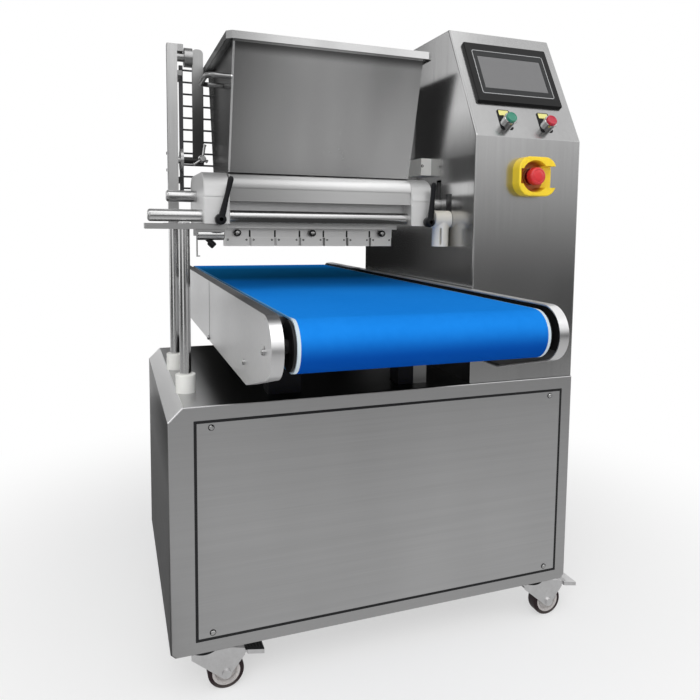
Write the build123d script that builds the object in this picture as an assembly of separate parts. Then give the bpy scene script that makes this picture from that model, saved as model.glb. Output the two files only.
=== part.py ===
from build123d import *
import math
import os

# A tray depositor for macarons: a cabinet on casters, a control column on its right,
# a belt conveyor running front to back, and a lifting head with pump and hopper.
# Millimetres. X runs to the right from the column's left face, Y to the back from the
# cabinet's front, Z up from the floor. The finished pieces move to the box centre.

# Cabinet
cabinet_depth = 570.0
cabinet_height = 440.0
sheet = 2.5
edge_r = 3.0
panel_sheet = 2.0
ledge_sheet = 2.5
top_chamfer = 25.0
foot_chamfer = 8.0
stile_left = 43.0
stile_right = 25.0
rail_top = 26.0
rail_bottom = 23.0
rear_margin = 30.0
panel_gap = 3.5
panel_ledge = 20.0
inlet_r = 10.25
inlet_height = 90.0
inlet_from_left = 120.0

# Screws of the panels and bolts of the conveyor covers
screw_head_r = 4.5
screw_head = 2.5
screw_r = 2.5
screw_inset_x = 25.0
screw_inset_z = 9.0
bolt_head_r = 7.0
bolt_head = 4.0

# Column
column_setback = 3.0
column_face = 480.0
slope_angle = 29.0
column_flange = 15.0
back_cover_depth = 20.0
vent_count = 7
vent_length = 120.0
vent_width = 5.0
vent_pitch = 16.0

# Touch panel and push buttons on the slope, measured up the slope from the crease
hmi_width = 196.0
hmi_height = 147.0
hmi_thick = 7.0
hmi_above_buttons = 47.5
hmi_below_top = 33.0
hmi_side = 22.0
hmi_box_inset = 9.0
hmi_box_depth = 34.0
hmi_corner = 4.0
hmi_edge = 1.5
cutout_clear = 0.5
screen_width = 148.0
screen_height = 80.0
screen_recess = 1.5
screen_thick = 1.0
button_rise = 30.0
button_spacing = 92.0
collar_r = 13.5
collar_height = 20.0
collar_edge = 1.0
barrel_r = 11.0
barrel_depth = 32.0
cap_r = 11.0
cap_seat = 6.0
cap_height = 19.0
cap_floor = 1.0
slide_clear = 0.08

# Emergency stop on the column's front face
estop_drop = 75.0
estop_collar_r = 16.0
estop_collar = 9.0
stem_r = 8.0
stem_length = 50.0
mushroom_r = 17.2
mushroom_thick = 18.0
mushroom_gap = 7.0
neck_r = 5.0
neck_length = 10.0
guard_width = 86.0
guard_height = 76.0
guard_depth = 24.0
guard_shift = 6.0
guard_corner = 26.0
guard_floor = 3.0
guard_mouth_r = 31.0
guard_throat_r = 25.0
guard_slot = 42.0
guard_notch = 29.0
guard_wall = 4.0

# Nozzles set the length of the pump, and the pump sets the belt
nozzle_count = 7
nozzle_pitch = 50.0
nozzle_gap = 5.0
nozzle_height = 17.0
nozzle_depth = 28.0
nozzle_bore_r = 6.0
nozzle_mouth_r = 9.0
manifold_end = 3.0
manifold_bar = 18.0
manifold_plate = 8.0
manifold_bar_depth = 20.0
manifold_plate_depth = 74.0
thumb_r = 6.0
thumb_length = 12.0
thumb_count = 3
clamp_knob_r = 9.0
clamp_knob = 13.0
clamp_screw = 8.0
clamp_screw_r = 3.5

# Conveyor
belt_margin = 38.0
belt_thick = 2.7
roller_r = 35.0
roller_clear = 0.3
roller_end = 4.0
conveyor_rise = 181.0
front_overhang = 303.0
back_overhang = 345.0
cover_depth = 17.0
cover_wall = 2.0
cover_lip = 6.5
cover_floor_gap = 3.0
cover_slope = 174.0
left_gap = 19.0
right_gap = 11.0
column_gap = 5.0
plate_thick = 8.0
plate_inset = 2.5
journal_r = 10.0
run_clear = 0.05
end_play = 0.5
bed_thick = 12.0
bed_end_gap = 6.0
beam_width = 40.0
beam_height = 30.0
beam_gap = 10.0
beam_inset = 60.0
leg_length = 60.0
leg_inset = 70.0
cover_bolt_in = 11.0
cover_bolt_up = 34.0

# Head: end blocks, pump, rods and posts
tray_clearance = 82.0
head_mid = 187.0
head_gap = 49.0
block_width = 46.0
block_tail = 38.0
block_height = 93.0
block_split = 47.0
block_groove = 1.5
block_nose_r = 42.0
block_heel_r = 30.0
block_edge = 1.5
rod_r = 11.0
rod_seat = 3.0
rod_gap = 2.0
rod_overhang = 21.0
rod_dome = 5.0
stub_length = 56.0
stub_depth = 14.0
stub_rise = 51.0
post_r = 10.0
post_block_gap = 32.0
post_margin = 41.0
post_behind = 24.0
post_top_gap = 1.0
bush_r = 18.0
bush_height = 34.0
bush_edge_r = 2.0
bush_spigot_r = 14.0
bush_spigot = 12.0
fit_clear = 0.1
bar_thick = 10.0
bar_width = 40.0
bar_overhang = 26.0
bar_lap = 42.0
clamp_plate = 12.0
clamp_plate_margin = 4.0
lift_travel = 40.0

# Feed rollers and their gears
roller_rise = 46.0
feed_r = 29.5
feed_nip = 5.0
feed_clear = 0.5
feed_wall = 4.0
flute_count = 12
flute_r = 3.0
shaft_r = 10.0
shaft_seat = 30.0
gear_teeth = 16
gear_width = 16.0
gear_gap = 2.0
trough_wall = 7.0
outlet_width = 10.0
outlet_length = 36.0

# Pump front cover
pump_cover_depth = 33.0
pump_cover_inset = 5.0
pump_cover_drop = 52.0
pump_cover_nose = 26.0
pump_cover_step = 2.0
pump_cover_wall = 4.0

# Carriage and motor inside the column
carriage_gap = 11.0
carriage_thick = 12.0
carriage_margin = 24.0
standoff_r = 5.0
standoff_edge = 3.0
motor_gap = 10.0
motor_flange_thick = 8.0
motor_r = 38.0
motor_length = 110.0
slot_clear = 1.0

# Boss on the head rod beside the column
boss_r = 18.0
boss_length = 36.0
boss_gap = 0.6
boss_foot_r = 17.0
boss_foot_drop = 55.0
boss_slot = 4.0

# Lift drive in the cabinet
crosshead_height = 20.0
crosshead_width = 50.0
crosshead_rise = 170.0
crosshead_margin = 22.0
actuator_r = 30.0
actuator_height = 120.0
actuator_foot = 90.0
actuator_foot_thick = 8.0
actuator_stroke_spare = 15.0

# Electrics on the cabinet floor
control_width = 440.0
control_height = 370.0
control_from_back = 100.0
control_sheet = 3.0
control_margin = 30.0
drive_width = 90.0
drive_depth = 90.0
drive_height = 170.0
supply_width = 110.0
supply_depth = 70.0
supply_height = 100.0
relay_width = 100.0
relay_depth = 60.0
relay_height = 130.0

# Clamp levers
lever_hub_r = 10.0
lever_hub_length = 18.0
lever_stud_r = 5.0
lever_stud_length = 12.0
lever_gap = 0.3
lever_length = 78.0
lever_root = 12.0
lever_tip = 10.0
lever_thick = 11.0
lever_rise = 8.0
left_lever_inset = 18.0
right_lever_inset = 11.0
left_lever_lean = 14.0
right_lever_lean = 5.0

# Hopper
hopper_height = 230.0
hopper_sheet = 2.0
hopper_front_lean = 63.0
hopper_back_lean = 72.0
hopper_front_step = 20.0
hopper_back_step = 6.0
rim_width = 13.0
rim_height = 13.0
rim_corner = 9.0
spigot_depth = 10.0
spigot_clear = 0.6
handle_r = 4.5
handle_reach = 42.0
handle_span = 90.0
handle_drop = 69.0
handle_from_front = 22.0
right_handle_back = 106.0
handle_bend = 14.0

# Guard behind the hopper and its frame
upright_side = 20.0
upright_height = 360.0
upright_cap = 14.0
upright_cap_width = 32.0
tie_r = 9.0
tie_drop = 24.0
tie_boss_r = 19.0
tie_boss = 16.0
stay_width = 22.0
stay_thick = 8.0
stay_gap = 30.0
stay_bottom = 121.0
stay_top_gap = 6.0
stay_round = 9.0
lower_tie_r = 7.0
lower_tie_rise = 129.0
flange_r = 23.0
flange_thick = 6.0
flange_gap = 4.0
guard_rail = 8.0
guard_back_gap = 10.0
guard_rail_gap = 10.0
guard_end_gap = 61.0
guard_wire_r = 2.0
guard_wire_count = 11
guard_wire_pitch = 25.0
guard_start = 75.0
guard_end_margin = 9.0
arm_side = 10.0
arm_low = 85.0
arm_high = 300.0

# Sensor block on the column beside the hopper
sensor_thick = 24.0
sensor_depth = 65.0
sensor_height = 36.0
sensor_back = 7.0
sensor_rise = 16.0

# Casters
caster_inset_x = 60.0
caster_inset_y = 38.0
caster_plate_x = 74.0
caster_plate_y = 60.0
caster_plate_thick = 4.0
raceway_r = 23.0
raceway_height = 8.0
swivel_gap = 0.3
kingpin_r = 6.0
fork_thick = 5.0
fork_leg = 3.0
wheel_r = 32.5
wheel_width = 26.0
wheel_gap = 2.0
wheel_top_gap = 9.7
hub_r = 25.0
hub_recess = 4.0
axle_r = 5.0
axle_nut_r = 8.0
axle_nut = 4.0
trail = 38.0
pedal_behind_axle = 24.0
pedal_pivot_drop = 12.7
pedal_pin_r = 3.0
pedal_hub_r = 6.0
pedal_reach = 106.0
pedal_tread_gap = 13.0
pedal_width = 42.0
pedal_side_gap = 0.5
pedal_fall = 6.0
pedal_thick = 8.0

# The wheels carry the cabinet, and the touch panel sets the slope and the column's width
caster_height = (
    2 * wheel_r + wheel_top_gap + fork_thick + swivel_gap + raceway_height + caster_plate_thick
)
hmi_rise = button_rise + hmi_above_buttons
slope_length = hmi_rise + hmi_height + hmi_below_top
slope_height = slope_length * math.cos(math.radians(slope_angle))
slope_run = slope_length * math.sin(math.radians(slope_angle))
column_width = hmi_width + 2 * hmi_side
pedal_pivot_x = trail + pedal_behind_axle
pedal_wide_from = pedal_pivot_x + pedal_tread_gap

# Places along Z
cabinet_bottom = caster_height
cabinet_top = cabinet_bottom + cabinet_height
belt_top = cabinet_top + conveyor_rise
nozzle_bottom = belt_top + tray_clearance
nozzle_top = nozzle_bottom + nozzle_height
head_bottom = nozzle_top + manifold_bar + manifold_plate
block_top = head_bottom + block_height
rod_z = head_bottom + rod_r + rod_seat
stub_z = head_bottom + stub_rise
feed_z = head_bottom + roller_rise
crease_z = cabinet_top + column_face
column_top = crease_z + slope_height
bar_bottom = head_bottom - bar_thick
crosshead_bottom = cabinet_bottom + crosshead_rise
hopper_top = block_top + hopper_height

# Places along X
pump_length = nozzle_count * nozzle_pitch + 2 * manifold_end
pump_right = -head_gap - block_width
pump_left = pump_right - pump_length
pump_mid = (pump_left + pump_right) / 2
left_block = pump_left - block_width
right_block = pump_right + block_width
post_x = left_block - post_block_gap
cabinet_left = post_x - post_margin
cabinet_right = column_width
column_mid = column_width / 2
belt_width = pump_length + belt_margin
right_cover = -column_gap
belt_right = right_cover - cover_depth - right_gap
belt_left = belt_right - belt_width
left_cover = belt_left - left_gap - cover_depth
plate_left = left_cover + cover_wall
plate_right = right_cover - cover_wall
carriage_left = carriage_gap
carriage_right = carriage_left + carriage_thick
gear_left = carriage_right + gear_gap
gear_right = gear_left + gear_width
motor_left = gear_right + motor_gap

# Places along Y
column_back = cabinet_depth
conveyor_front = -front_overhang
conveyor_back = cabinet_depth + back_overhang
belt_r = roller_r + roller_clear + belt_thick
axis_z = belt_top - belt_r
beam_top = axis_z - belt_r - beam_gap
beam_bottom = beam_top - beam_height
cover_bottom = beam_bottom - cover_floor_gap
nose_r = belt_r + cover_lip
nose_y = conveyor_front + nose_r
tail_y = conveyor_back - nose_r
gear_spacing = 2 * feed_r + feed_nip
gear_module = gear_spacing / gear_teeth
standoff_offset = gear_spacing / 2
motor_flange = 2 * (standoff_offset + standoff_r + standoff_edge)
feed_front = head_mid - gear_spacing / 2
feed_rear = head_mid + gear_spacing / 2
cavity_r = feed_r + feed_clear
pump_front = feed_front - cavity_r - feed_wall
pump_back = feed_rear + cavity_r + feed_wall
pump_cover_front = pump_front - pump_cover_depth
head_front = pump_cover_front - pump_cover_inset
head_back = pump_back + block_tail
rod_y = pump_front - rod_gap - rod_r
post_front = rod_y
post_rear = head_back + post_behind
trough_front = pump_front + trough_wall
trough_back = pump_back - trough_wall
hopper_front = head_front + hopper_front_step
hopper_back = head_back - hopper_back_step
rim_front = hopper_front - hopper_front_lean
rim_back = hopper_back + hopper_back_lean
guard_y = rim_back + rim_width + guard_back_gap

# The slope's own plane: x to the right, y up the slope, z out of the panel
slope_plane = Plane(
    origin=(column_mid, column_setback, crease_z),
    x_dir=(1, 0, 0),
    z_dir=(0, -math.cos(math.radians(slope_angle)), math.sin(math.radians(slope_angle))),
)

# The finished box runs from the support bar's end to the front right pedal's tip
caster_right = cabinet_right - caster_inset_x
caster_left = cabinet_left + caster_inset_x
box_left = cabinet_left - max(bar_overhang, rod_overhang)
box_right = max(cabinet_right, caster_right + pedal_reach)
box_mid_x = (box_left + box_right) / 2
box_mid_y = (conveyor_front + conveyor_back) / 2
to_box_centre = Location((-box_mid_x, -box_mid_y, 0))


def block(x0, x1, y0, y1, z0, z1):
    middle = Pos((x0 + x1) / 2, (y0 + y1) / 2, (z0 + z1) / 2)
    return middle * Box(x1 - x0, y1 - y0, z1 - z0)


def bar_x(x0, x1, y, z, r):
    return Pos((x0 + x1) / 2, y, z) * Rot(0, 90, 0) * Cylinder(r, x1 - x0)


def bar_y(x, y0, y1, z, r):
    return Pos(x, (y0 + y1) / 2, z) * Rot(90, 0, 0) * Cylinder(r, y1 - y0)


def bar_z(x, y, z0, z1, r):
    return Pos(x, y, (z0 + z1) / 2) * Cylinder(r, z1 - z0)


def along_x(points, x0, x1):
    face = make_face(Polyline(*points, close=True))
    return extrude(Plane.YZ.offset(x0) * face, amount=x1 - x0)


def along_y(points, y0, y1):
    face = make_face(Polyline(*points, close=True))
    return extrude(Plane.XZ.offset(-y0) * face, amount=y0 - y1)


def edges_along(shape, axis, length):
    return [e for e in shape.edges().filter_by(axis) if abs(e.length - length) < 0.01]


def box_frame(x0, x1, y0, y1, z0, z1, wall):
    outer = block(x0, x1, y0, y1, z0, z1)
    return outer - block(x0 + wall, x1 - wall, y0 + wall, y1 - wall, z0, z1)


# Cabinet pieces


def cabinet_outline(inset):
    left = cabinet_left + inset
    right = cabinet_right - inset
    low = cabinet_bottom + inset
    high = cabinet_top - inset
    slant = inset * (2 - math.sqrt(2))
    top = top_chamfer - slant
    foot = foot_chamfer - slant
    return [
        (left, low + foot),
        (left + foot, low),
        (right - foot, low),
        (right, low + foot),
        (right, high),
        (left + top, high),
        (left, high - top),
    ]


def panel_pocket(front):
    if front:
        return (
            cabinet_left + stile_left,
            cabinet_right - stile_right,
            cabinet_bottom + rail_bottom,
            cabinet_top - rail_top,
        )
    return (
        cabinet_left + rear_margin,
        cabinet_right - rear_margin,
        cabinet_bottom + rear_margin,
        cabinet_top - rear_margin,
    )


def panel_screw_places(front):
    x0, x1, z0, z1 = panel_pocket(front)
    xs = (x0 + panel_gap + screw_inset_x, x1 - panel_gap - screw_inset_x)
    zs = (z0 + panel_gap + screw_inset_z, z1 - panel_gap - screw_inset_z)
    return [(x, z) for x in xs for z in zs]


def column_opening():
    return (
        column_flange,
        column_width - column_flange,
        column_setback + column_flange,
        column_back - column_flange,
    )


def make_cabinet_shell():
    wall = panel_sheet + ledge_sheet
    shell = along_y(cabinet_outline(0), 0, cabinet_depth)
    shell = fillet(shell.edges(), edge_r)
    shell -= along_y(cabinet_outline(sheet), wall, cabinet_depth - wall)
    for front in (True, False):
        x0, x1, z0, z1 = panel_pocket(front)
        y0 = 0 if front else cabinet_depth - panel_sheet
        shell -= block(x0, x1, y0, y0 + panel_sheet, z0, z1)
        y0 = 0 if front else cabinet_depth - wall
        ledge = panel_ledge
        shell -= block(x0 + ledge, x1 - ledge, y0, y0 + wall, z0 + ledge, z1 - ledge)
        for x, z in panel_screw_places(front):
            shell -= bar_y(x, y0, y0 + wall, z, screw_r + fit_clear)
    for y in (post_front, post_rear):
        shell -= bar_z(post_x, y, cabinet_top - sheet, cabinet_top, bush_spigot_r + fit_clear)
    x0, x1, y0, y1 = column_opening()
    shell -= block(x0, x1, y0, y1, cabinet_top - sheet, cabinet_top)
    return shell


def make_panel(front):
    x0, x1, z0, z1 = panel_pocket(front)
    gap = panel_gap
    y0 = 0 if front else cabinet_depth - panel_sheet
    panel = block(x0 + gap, x1 - gap, y0, y0 + panel_sheet, z0 + gap, z1 - gap)
    for x, z in panel_screw_places(front):
        panel -= bar_y(x, y0, y0 + panel_sheet, z, screw_r + fit_clear)
    if not front:
        z = cabinet_bottom + inlet_height
        panel -= bar_y(cabinet_left + inlet_from_left, y0, y0 + panel_sheet, z, inlet_r)
    return panel


def cover_bolt_places():
    inward = cover_slope + cover_bolt_in
    upper = cover_bottom + cover_bolt_up
    lower = cover_bottom + bolt_head_r + cover_wall
    return [
        (nose_y, axis_z),
        (conveyor_front + inward, upper),
        (cabinet_depth / 2, lower),
        (conveyor_back - inward, upper),
        (tail_y, axis_z),
    ]


def make_cover_screws():
    reach = panel_sheet + ledge_sheet
    screws = []
    for x, z in panel_screw_places(True):
        head = bar_y(x, -screw_head, 0, z, screw_head_r)
        screws.append(head + bar_y(x, 0, reach, z, screw_r))
    for x, z in panel_screw_places(False):
        head = bar_y(x, cabinet_depth, cabinet_depth + screw_head, z, screw_head_r)
        screws.append(head + bar_y(x, cabinet_depth - reach, cabinet_depth, z, screw_r))
    for y, z in cover_bolt_places():
        head = bar_x(left_cover - bolt_head, left_cover, y, z, bolt_head_r)
        screws.append(head + bar_x(left_cover, plate_left, y, z, screw_r))
    return Compound(children=screws)


# Column pieces


def column_outline(inset, back):
    lean = math.radians(slope_angle)
    rise = inset * math.tan(lean / 2)
    front = column_setback + inset
    top_front = column_setback + slope_run + inset / math.cos(lean) - inset * math.tan(lean)
    return [
        (front, cabinet_top + inset),
        (front, crease_z - rise),
        (top_front, column_top - inset),
        (back, column_top - inset),
        (back, cabinet_top + inset),
    ]


def on_slope(shape, x, up, out):
    return slope_plane * Pos(x, up, out) * shape


def hmi_middle():
    return hmi_rise + hmi_height / 2


def slot_in_column(y, z, r):
    wide = r + slot_clear
    low = z - wide
    high = z + wide + lift_travel
    return block(0, sheet, y - wide, y + wide, low, high)


def on_outside(point):
    return point.Z > cabinet_top + edge_r and point.Y < column_back - edge_r


def make_column_shell():
    shell = along_x(column_outline(0, column_back), 0, column_width)
    rounded = [e for e in shell.edges() if on_outside(e.center())]
    shell = fillet(rounded, edge_r)
    shell -= along_x(column_outline(sheet, column_back - sheet), sheet, column_width - sheet)
    x0, x1, y0, y1 = column_opening()
    shell -= block(x0, x1, y0, y1, cabinet_top, cabinet_top + sheet)
    z0 = cabinet_top + column_flange
    z1 = column_top - column_flange
    shell -= block(x0, x1, column_back - sheet, column_back, z0, z1)
    cut_w = hmi_width - 2 * hmi_box_inset + 2 * cutout_clear
    cut_h = hmi_height - 2 * hmi_box_inset + 2 * cutout_clear
    shell -= on_slope(Box(cut_w, cut_h, 4 * sheet), 0, hmi_middle(), 0)
    for side in (-1, 1):
        hole = Cylinder(barrel_r + fit_clear, 4 * sheet)
        shell -= on_slope(hole, side * button_spacing / 2, button_rise, 0)
    z = crease_z - estop_drop
    shell -= bar_y(column_mid, 0, column_setback + 2 * sheet, z, barrel_r + fit_clear)
    shell -= slot_in_column(rod_y, rod_z, rod_r)
    for y in (feed_front, feed_rear):
        shell -= slot_in_column(y, feed_z, shaft_r)
    return shell


def make_column_back_cover():
    y1 = column_back + back_cover_depth
    cover = block(0, column_width, column_back, y1, cabinet_top, column_top)
    inner = (sheet, column_width - sheet, column_back, y1 - sheet)
    cover -= block(*inner, cabinet_top + sheet, column_top - sheet)
    for i in range(vent_count):
        z = column_top - column_flange - vent_length - i * vent_pitch
        x0 = column_mid - vent_length / 2
        cover -= block(x0, x0 + vent_length, y1 - sheet, y1, z, z + vent_width)
    return cover


def make_hmi_bezel():
    plate = Box(hmi_width, hmi_height, hmi_thick)
    plate = fillet(plate.edges().filter_by(Axis.Z), hmi_corner)
    plate = chamfer(plate.faces().sort_by(Axis.Z)[-1].edges(), hmi_edge)
    plate -= Pos(0, 0, hmi_thick / 2 - screen_recess / 2) * Box(screen_width, screen_height, screen_recess)
    rear = Box(hmi_width - 2 * hmi_box_inset, hmi_height - 2 * hmi_box_inset, hmi_box_depth)
    bezel = Pos(0, 0, hmi_thick / 2) * plate + Pos(0, 0, -hmi_box_depth / 2) * rear
    return on_slope(bezel, 0, hmi_middle(), 0)


def make_hmi_screen():
    glass = Box(screen_width - 2 * cutout_clear, screen_height - 2 * cutout_clear, screen_thick)
    return on_slope(glass, 0, hmi_middle(), hmi_thick - screen_recess + screen_thick / 2)


def make_button_collars():
    z = crease_z - estop_drop
    front = column_setback
    base = bar_y(column_mid, front - estop_collar, front, z, estop_collar_r)
    base += bar_y(column_mid, front, front + stem_length, z, barrel_r)
    base -= bar_y(column_mid, front - estop_collar, front + stem_length, z, stem_r + slide_clear)
    collars = [base]
    for side in (-1, 1):
        ring = Pos(0, 0, collar_height / 2) * Cylinder(collar_r, collar_height)
        ring = chamfer(ring.faces().sort_by(Axis.Z)[-1].edges(), collar_edge)
        ring -= Pos(0, 0, cap_floor + collar_height / 2) * Cylinder(cap_r + slide_clear, collar_height)
        ring += Pos(0, 0, -barrel_depth / 2) * Cylinder(barrel_r, barrel_depth)
        collars.append(on_slope(ring, side * button_spacing / 2, button_rise, 0))
    return Compound(children=collars)


def make_button_cap(side):
    cap = Cylinder(cap_r, cap_height)
    cap = fillet(cap.faces().sort_by(Axis.Z)[-1].edges(), 1.5)
    return on_slope(cap, side * button_spacing / 2, button_rise, cap_seat + cap_height / 2)


def mushroom_back():
    return column_setback - estop_collar - mushroom_gap


def make_estop_stem():
    z = crease_z - estop_drop
    back = mushroom_back() - slide_clear
    stem = bar_y(column_mid, mushroom_back() + slide_clear, column_setback + stem_length / 2, z, stem_r)
    return stem + bar_y(column_mid, back - neck_length, mushroom_back() + slide_clear, z, neck_r)


def make_estop_mushroom():
    head = Cylinder(mushroom_r, mushroom_thick)
    head = fillet(head.faces().sort_by(Axis.Z)[-1].edges(), mushroom_r / 4)
    head = chamfer(head.faces().sort_by(Axis.Z)[0].edges(), 1.5)
    bore = neck_length + 2 * slide_clear + end_play
    head -= Pos(0, 0, (bore - mushroom_thick) / 2) * Cylinder(neck_r + slide_clear, bore)
    place = Pos(column_mid, mushroom_back() - mushroom_thick / 2, crease_z - estop_drop)
    return place * Rot(90, 0, 0) * head


def make_estop_guard():
    body = Box(guard_width, guard_height, guard_depth)
    body = fillet(body.edges().filter_by(Axis.Z), guard_corner)
    body = Pos(guard_shift, 0, 0) * fillet(body.faces().sort_by(Axis.Z)[-1].edges(), edge_r)
    cone = guard_depth - guard_floor
    body -= Pos(0, 0, guard_floor / 2) * Cone(guard_throat_r, guard_mouth_r, cone)
    body -= Cylinder(estop_collar_r + cutout_clear, guard_depth)
    slot = Pos(guard_width, 0, guard_floor / 2) * Box(2 * guard_width, guard_slot, cone)
    body -= slot
    reach = guard_width / 2 - guard_shift - guard_wall
    body -= Pos(-reach / 2, 0, guard_floor / 2) * Box(reach, guard_notch, cone)
    place = Pos(column_mid, column_setback - guard_depth / 2, crease_z - estop_drop)
    return place * Rot(90, 0, 0) * body


def make_hopper_sensor_block():
    y0 = head_mid + sensor_back
    z0 = block_top + sensor_rise
    return block(-sensor_thick, 0, y0, y0 + sensor_depth, z0, z0 + sensor_height)


# Conveyor pieces


def tangent_from(y, z, centre_y, centre_z, r, side):
    reach = math.hypot(y - centre_y, z - centre_z)
    heading = math.atan2(z - centre_z, y - centre_y)
    angle = heading + side * math.acos(r / reach)
    return (centre_y + r * math.cos(angle), centre_z + r * math.sin(angle))


def cover_face(inset):
    r = nose_r - inset
    low = cover_bottom + inset
    front = (conveyor_front + cover_slope, low)
    back = (conveyor_back - cover_slope, low)
    nose_touch = tangent_from(*front, nose_y, axis_z, r, -1)
    tail_touch = tangent_from(*back, tail_y, axis_z, r, 1)
    edges = [
        Line(front, back),
        Line(back, tail_touch),
        ThreePointArc(tail_touch, (tail_y + r, axis_z), (tail_y, axis_z + r)),
        Line((tail_y, axis_z + r), (nose_y, axis_z + r)),
        ThreePointArc((nose_y, axis_z + r), (nose_y - r, axis_z), nose_touch),
        Line(nose_touch, front),
    ]
    return make_face(edges)


def loop_face(r):
    edges = [
        Line((nose_y, axis_z + r), (tail_y, axis_z + r)),
        ThreePointArc((tail_y, axis_z + r), (tail_y + r, axis_z), (tail_y, axis_z - r)),
        Line((tail_y, axis_z - r), (nose_y, axis_z - r)),
        ThreePointArc((nose_y, axis_z - r), (nose_y - r, axis_z), (nose_y, axis_z + r)),
    ]
    return make_face(edges)


def slab(face, x0, x1):
    return extrude(Plane.YZ.offset(x0) * face, amount=x1 - x0)


def make_conveyor_cover(left):
    outer = left_cover if left else right_cover - cover_depth
    cover = slab(cover_face(0), outer, outer + cover_depth)
    inner = outer + cover_wall if left else outer
    cover -= slab(cover_face(cover_wall), inner, inner + cover_depth - cover_wall)
    if left:
        for y, z in cover_bolt_places():
            cover -= bar_x(left_cover, left_cover + cover_wall, y, z, screw_r + fit_clear)
    return cover


def beam_places():
    return (beam_inset, cabinet_depth - beam_inset)


def make_conveyor_frame():
    face = cover_face(plate_inset)
    frame = slab(face, plate_left, plate_left + plate_thick)
    frame += slab(face, plate_right - plate_thick, plate_right)
    low = beam_bottom
    for y in beam_places():
        y0 = y - beam_width / 2
        y1 = y + beam_width / 2
        frame += block(plate_left, plate_right, y0, y1, low, low + beam_height)
        for x0 in (plate_left + leg_inset, plate_right - leg_inset - leg_length):
            frame += block(x0, x0 + leg_length, y0, y1, cabinet_top, low)
    for y in (nose_y, tail_y):
        frame -= bar_x(plate_left, plate_right, y, axis_z, journal_r + run_clear)
    return frame


def make_conveyor_bed():
    top = axis_z + roller_r
    front = nose_y + roller_r + bed_end_gap
    back = tail_y - roller_r - bed_end_gap
    return block(plate_left + plate_thick, plate_right - plate_thick, front, back, top - bed_thick, top)


def make_conveyor_belt():
    belt = slab(loop_face(belt_r), belt_left, belt_right)
    return belt - slab(loop_face(belt_r - belt_thick), belt_left, belt_right)


def make_belt_roller(y):
    roller = bar_x(belt_left - roller_end, belt_right + roller_end, y, axis_z, roller_r)
    return roller + bar_x(plate_left + end_play, plate_right - end_play, y, axis_z, journal_r)


# Head pieces


def make_post_bushes():
    bushes = []
    for y in (post_front, post_rear):
        bush = bar_z(post_x, y, cabinet_top, cabinet_top + bush_height, bush_r)
        bush = fillet(bush.faces().sort_by(Axis.Z)[-1].edges(), bush_edge_r)
        bush += bar_z(post_x, y, cabinet_top - bush_spigot, cabinet_top, bush_spigot_r)
        low = cabinet_top - bush_spigot
        bushes.append(bush - bar_z(post_x, y, low, cabinet_top + bush_height, post_r + run_clear))
    return Compound(children=bushes)


def make_lift_posts():
    front = bar_z(post_x, post_front, crosshead_bottom, rod_z - rod_r - post_top_gap, post_r)
    rear = bar_z(post_x, post_rear, crosshead_bottom, head_bottom, post_r)
    return Compound(children=[front, rear])


def crosshead_mid():
    return (post_front + post_rear) / 2


def make_lift_crosshead():
    half = crosshead_width / 2
    y0 = post_front - crosshead_margin
    y1 = post_rear + crosshead_margin
    head = block(post_x - half, post_x + half, y0, y1, crosshead_bottom, crosshead_bottom + crosshead_height)
    for y in (post_front, post_rear):
        head -= bar_z(post_x, y, crosshead_bottom, crosshead_bottom + crosshead_height, post_r + run_clear)
    actuator_top = cabinet_bottom + sheet + actuator_foot_thick + actuator_height
    rod_low = actuator_top - lift_travel - actuator_stroke_spare
    return head + bar_z(post_x, crosshead_mid(), rod_low, crosshead_bottom, post_r)


def make_lift_actuator():
    floor = cabinet_bottom + sheet
    half = actuator_foot / 2
    y = crosshead_mid()
    foot_top = floor + actuator_foot_thick
    left = cabinet_left + sheet + foot_chamfer
    foot = block(left, post_x + half, y - half, y + half, floor, foot_top)
    top = foot_top + actuator_height
    body = foot + bar_z(post_x, y, foot_top, top, actuator_r)
    depth = lift_travel + 2 * actuator_stroke_spare
    return body - bar_z(post_x, y, top - depth, top, post_r + run_clear)


def make_control_plate():
    floor = cabinet_bottom + sheet
    y1 = cabinet_depth - control_from_back
    y0 = y1 - control_sheet
    x0 = (cabinet_left + cabinet_right - control_width) / 2
    plate = block(x0, x0 + control_width, y0, y1, floor, floor + control_height)
    foot = block(x0, x0 + control_width, y1, y1 + beam_width, floor, floor + control_sheet)
    plate += foot
    drive = (drive_width, drive_depth, drive_height)
    supply = (supply_width, supply_depth, supply_height)
    relay = (relay_width, relay_depth, relay_height)
    boxes = (drive, supply, relay)
    for i, (wide, deep, tall) in enumerate(boxes):
        left = x0 + control_margin + i * control_width / len(boxes)
        low = floor + control_height - control_margin - tall
        plate += block(left, left + wide, y0 - deep, y0, low, low + tall)
    return plate


def make_support_bars():
    half = bar_width / 2
    reach = left_block + bar_lap
    front = block(box_left, reach, rod_y - half, rod_y + half, bar_bottom, head_bottom)
    margin = clamp_plate_margin
    low = bar_bottom - clamp_plate
    x0 = post_x + post_r + 2 * margin
    y0 = rod_y - half + margin
    y1 = rod_y + half - margin
    front += block(x0, reach - margin, y0, y1, low, bar_bottom)
    front -= bar_z(post_x, post_front, low, head_bottom, post_r + run_clear)
    side = post_x - post_r - half / 2
    rear = block(side, reach, head_back - half / 2, post_rear + half, bar_bottom, head_bottom)
    rear -= bar_z(post_x, post_rear, bar_bottom, head_bottom, post_r + run_clear)
    return Compound(children=[front, rear])


def domed(rod):
    return fillet(rod.faces().sort_by(Axis.X)[0].edges(), rod_dome)


def make_head_rods():
    lower = domed(bar_x(cabinet_left - rod_overhang, carriage_right, rod_y, rod_z, rod_r))
    upper = domed(bar_x(left_block - stub_length, left_block + stub_depth, head_mid + stub_depth / 2, stub_z, rod_r))
    return Compound(children=[lower, upper])


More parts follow.
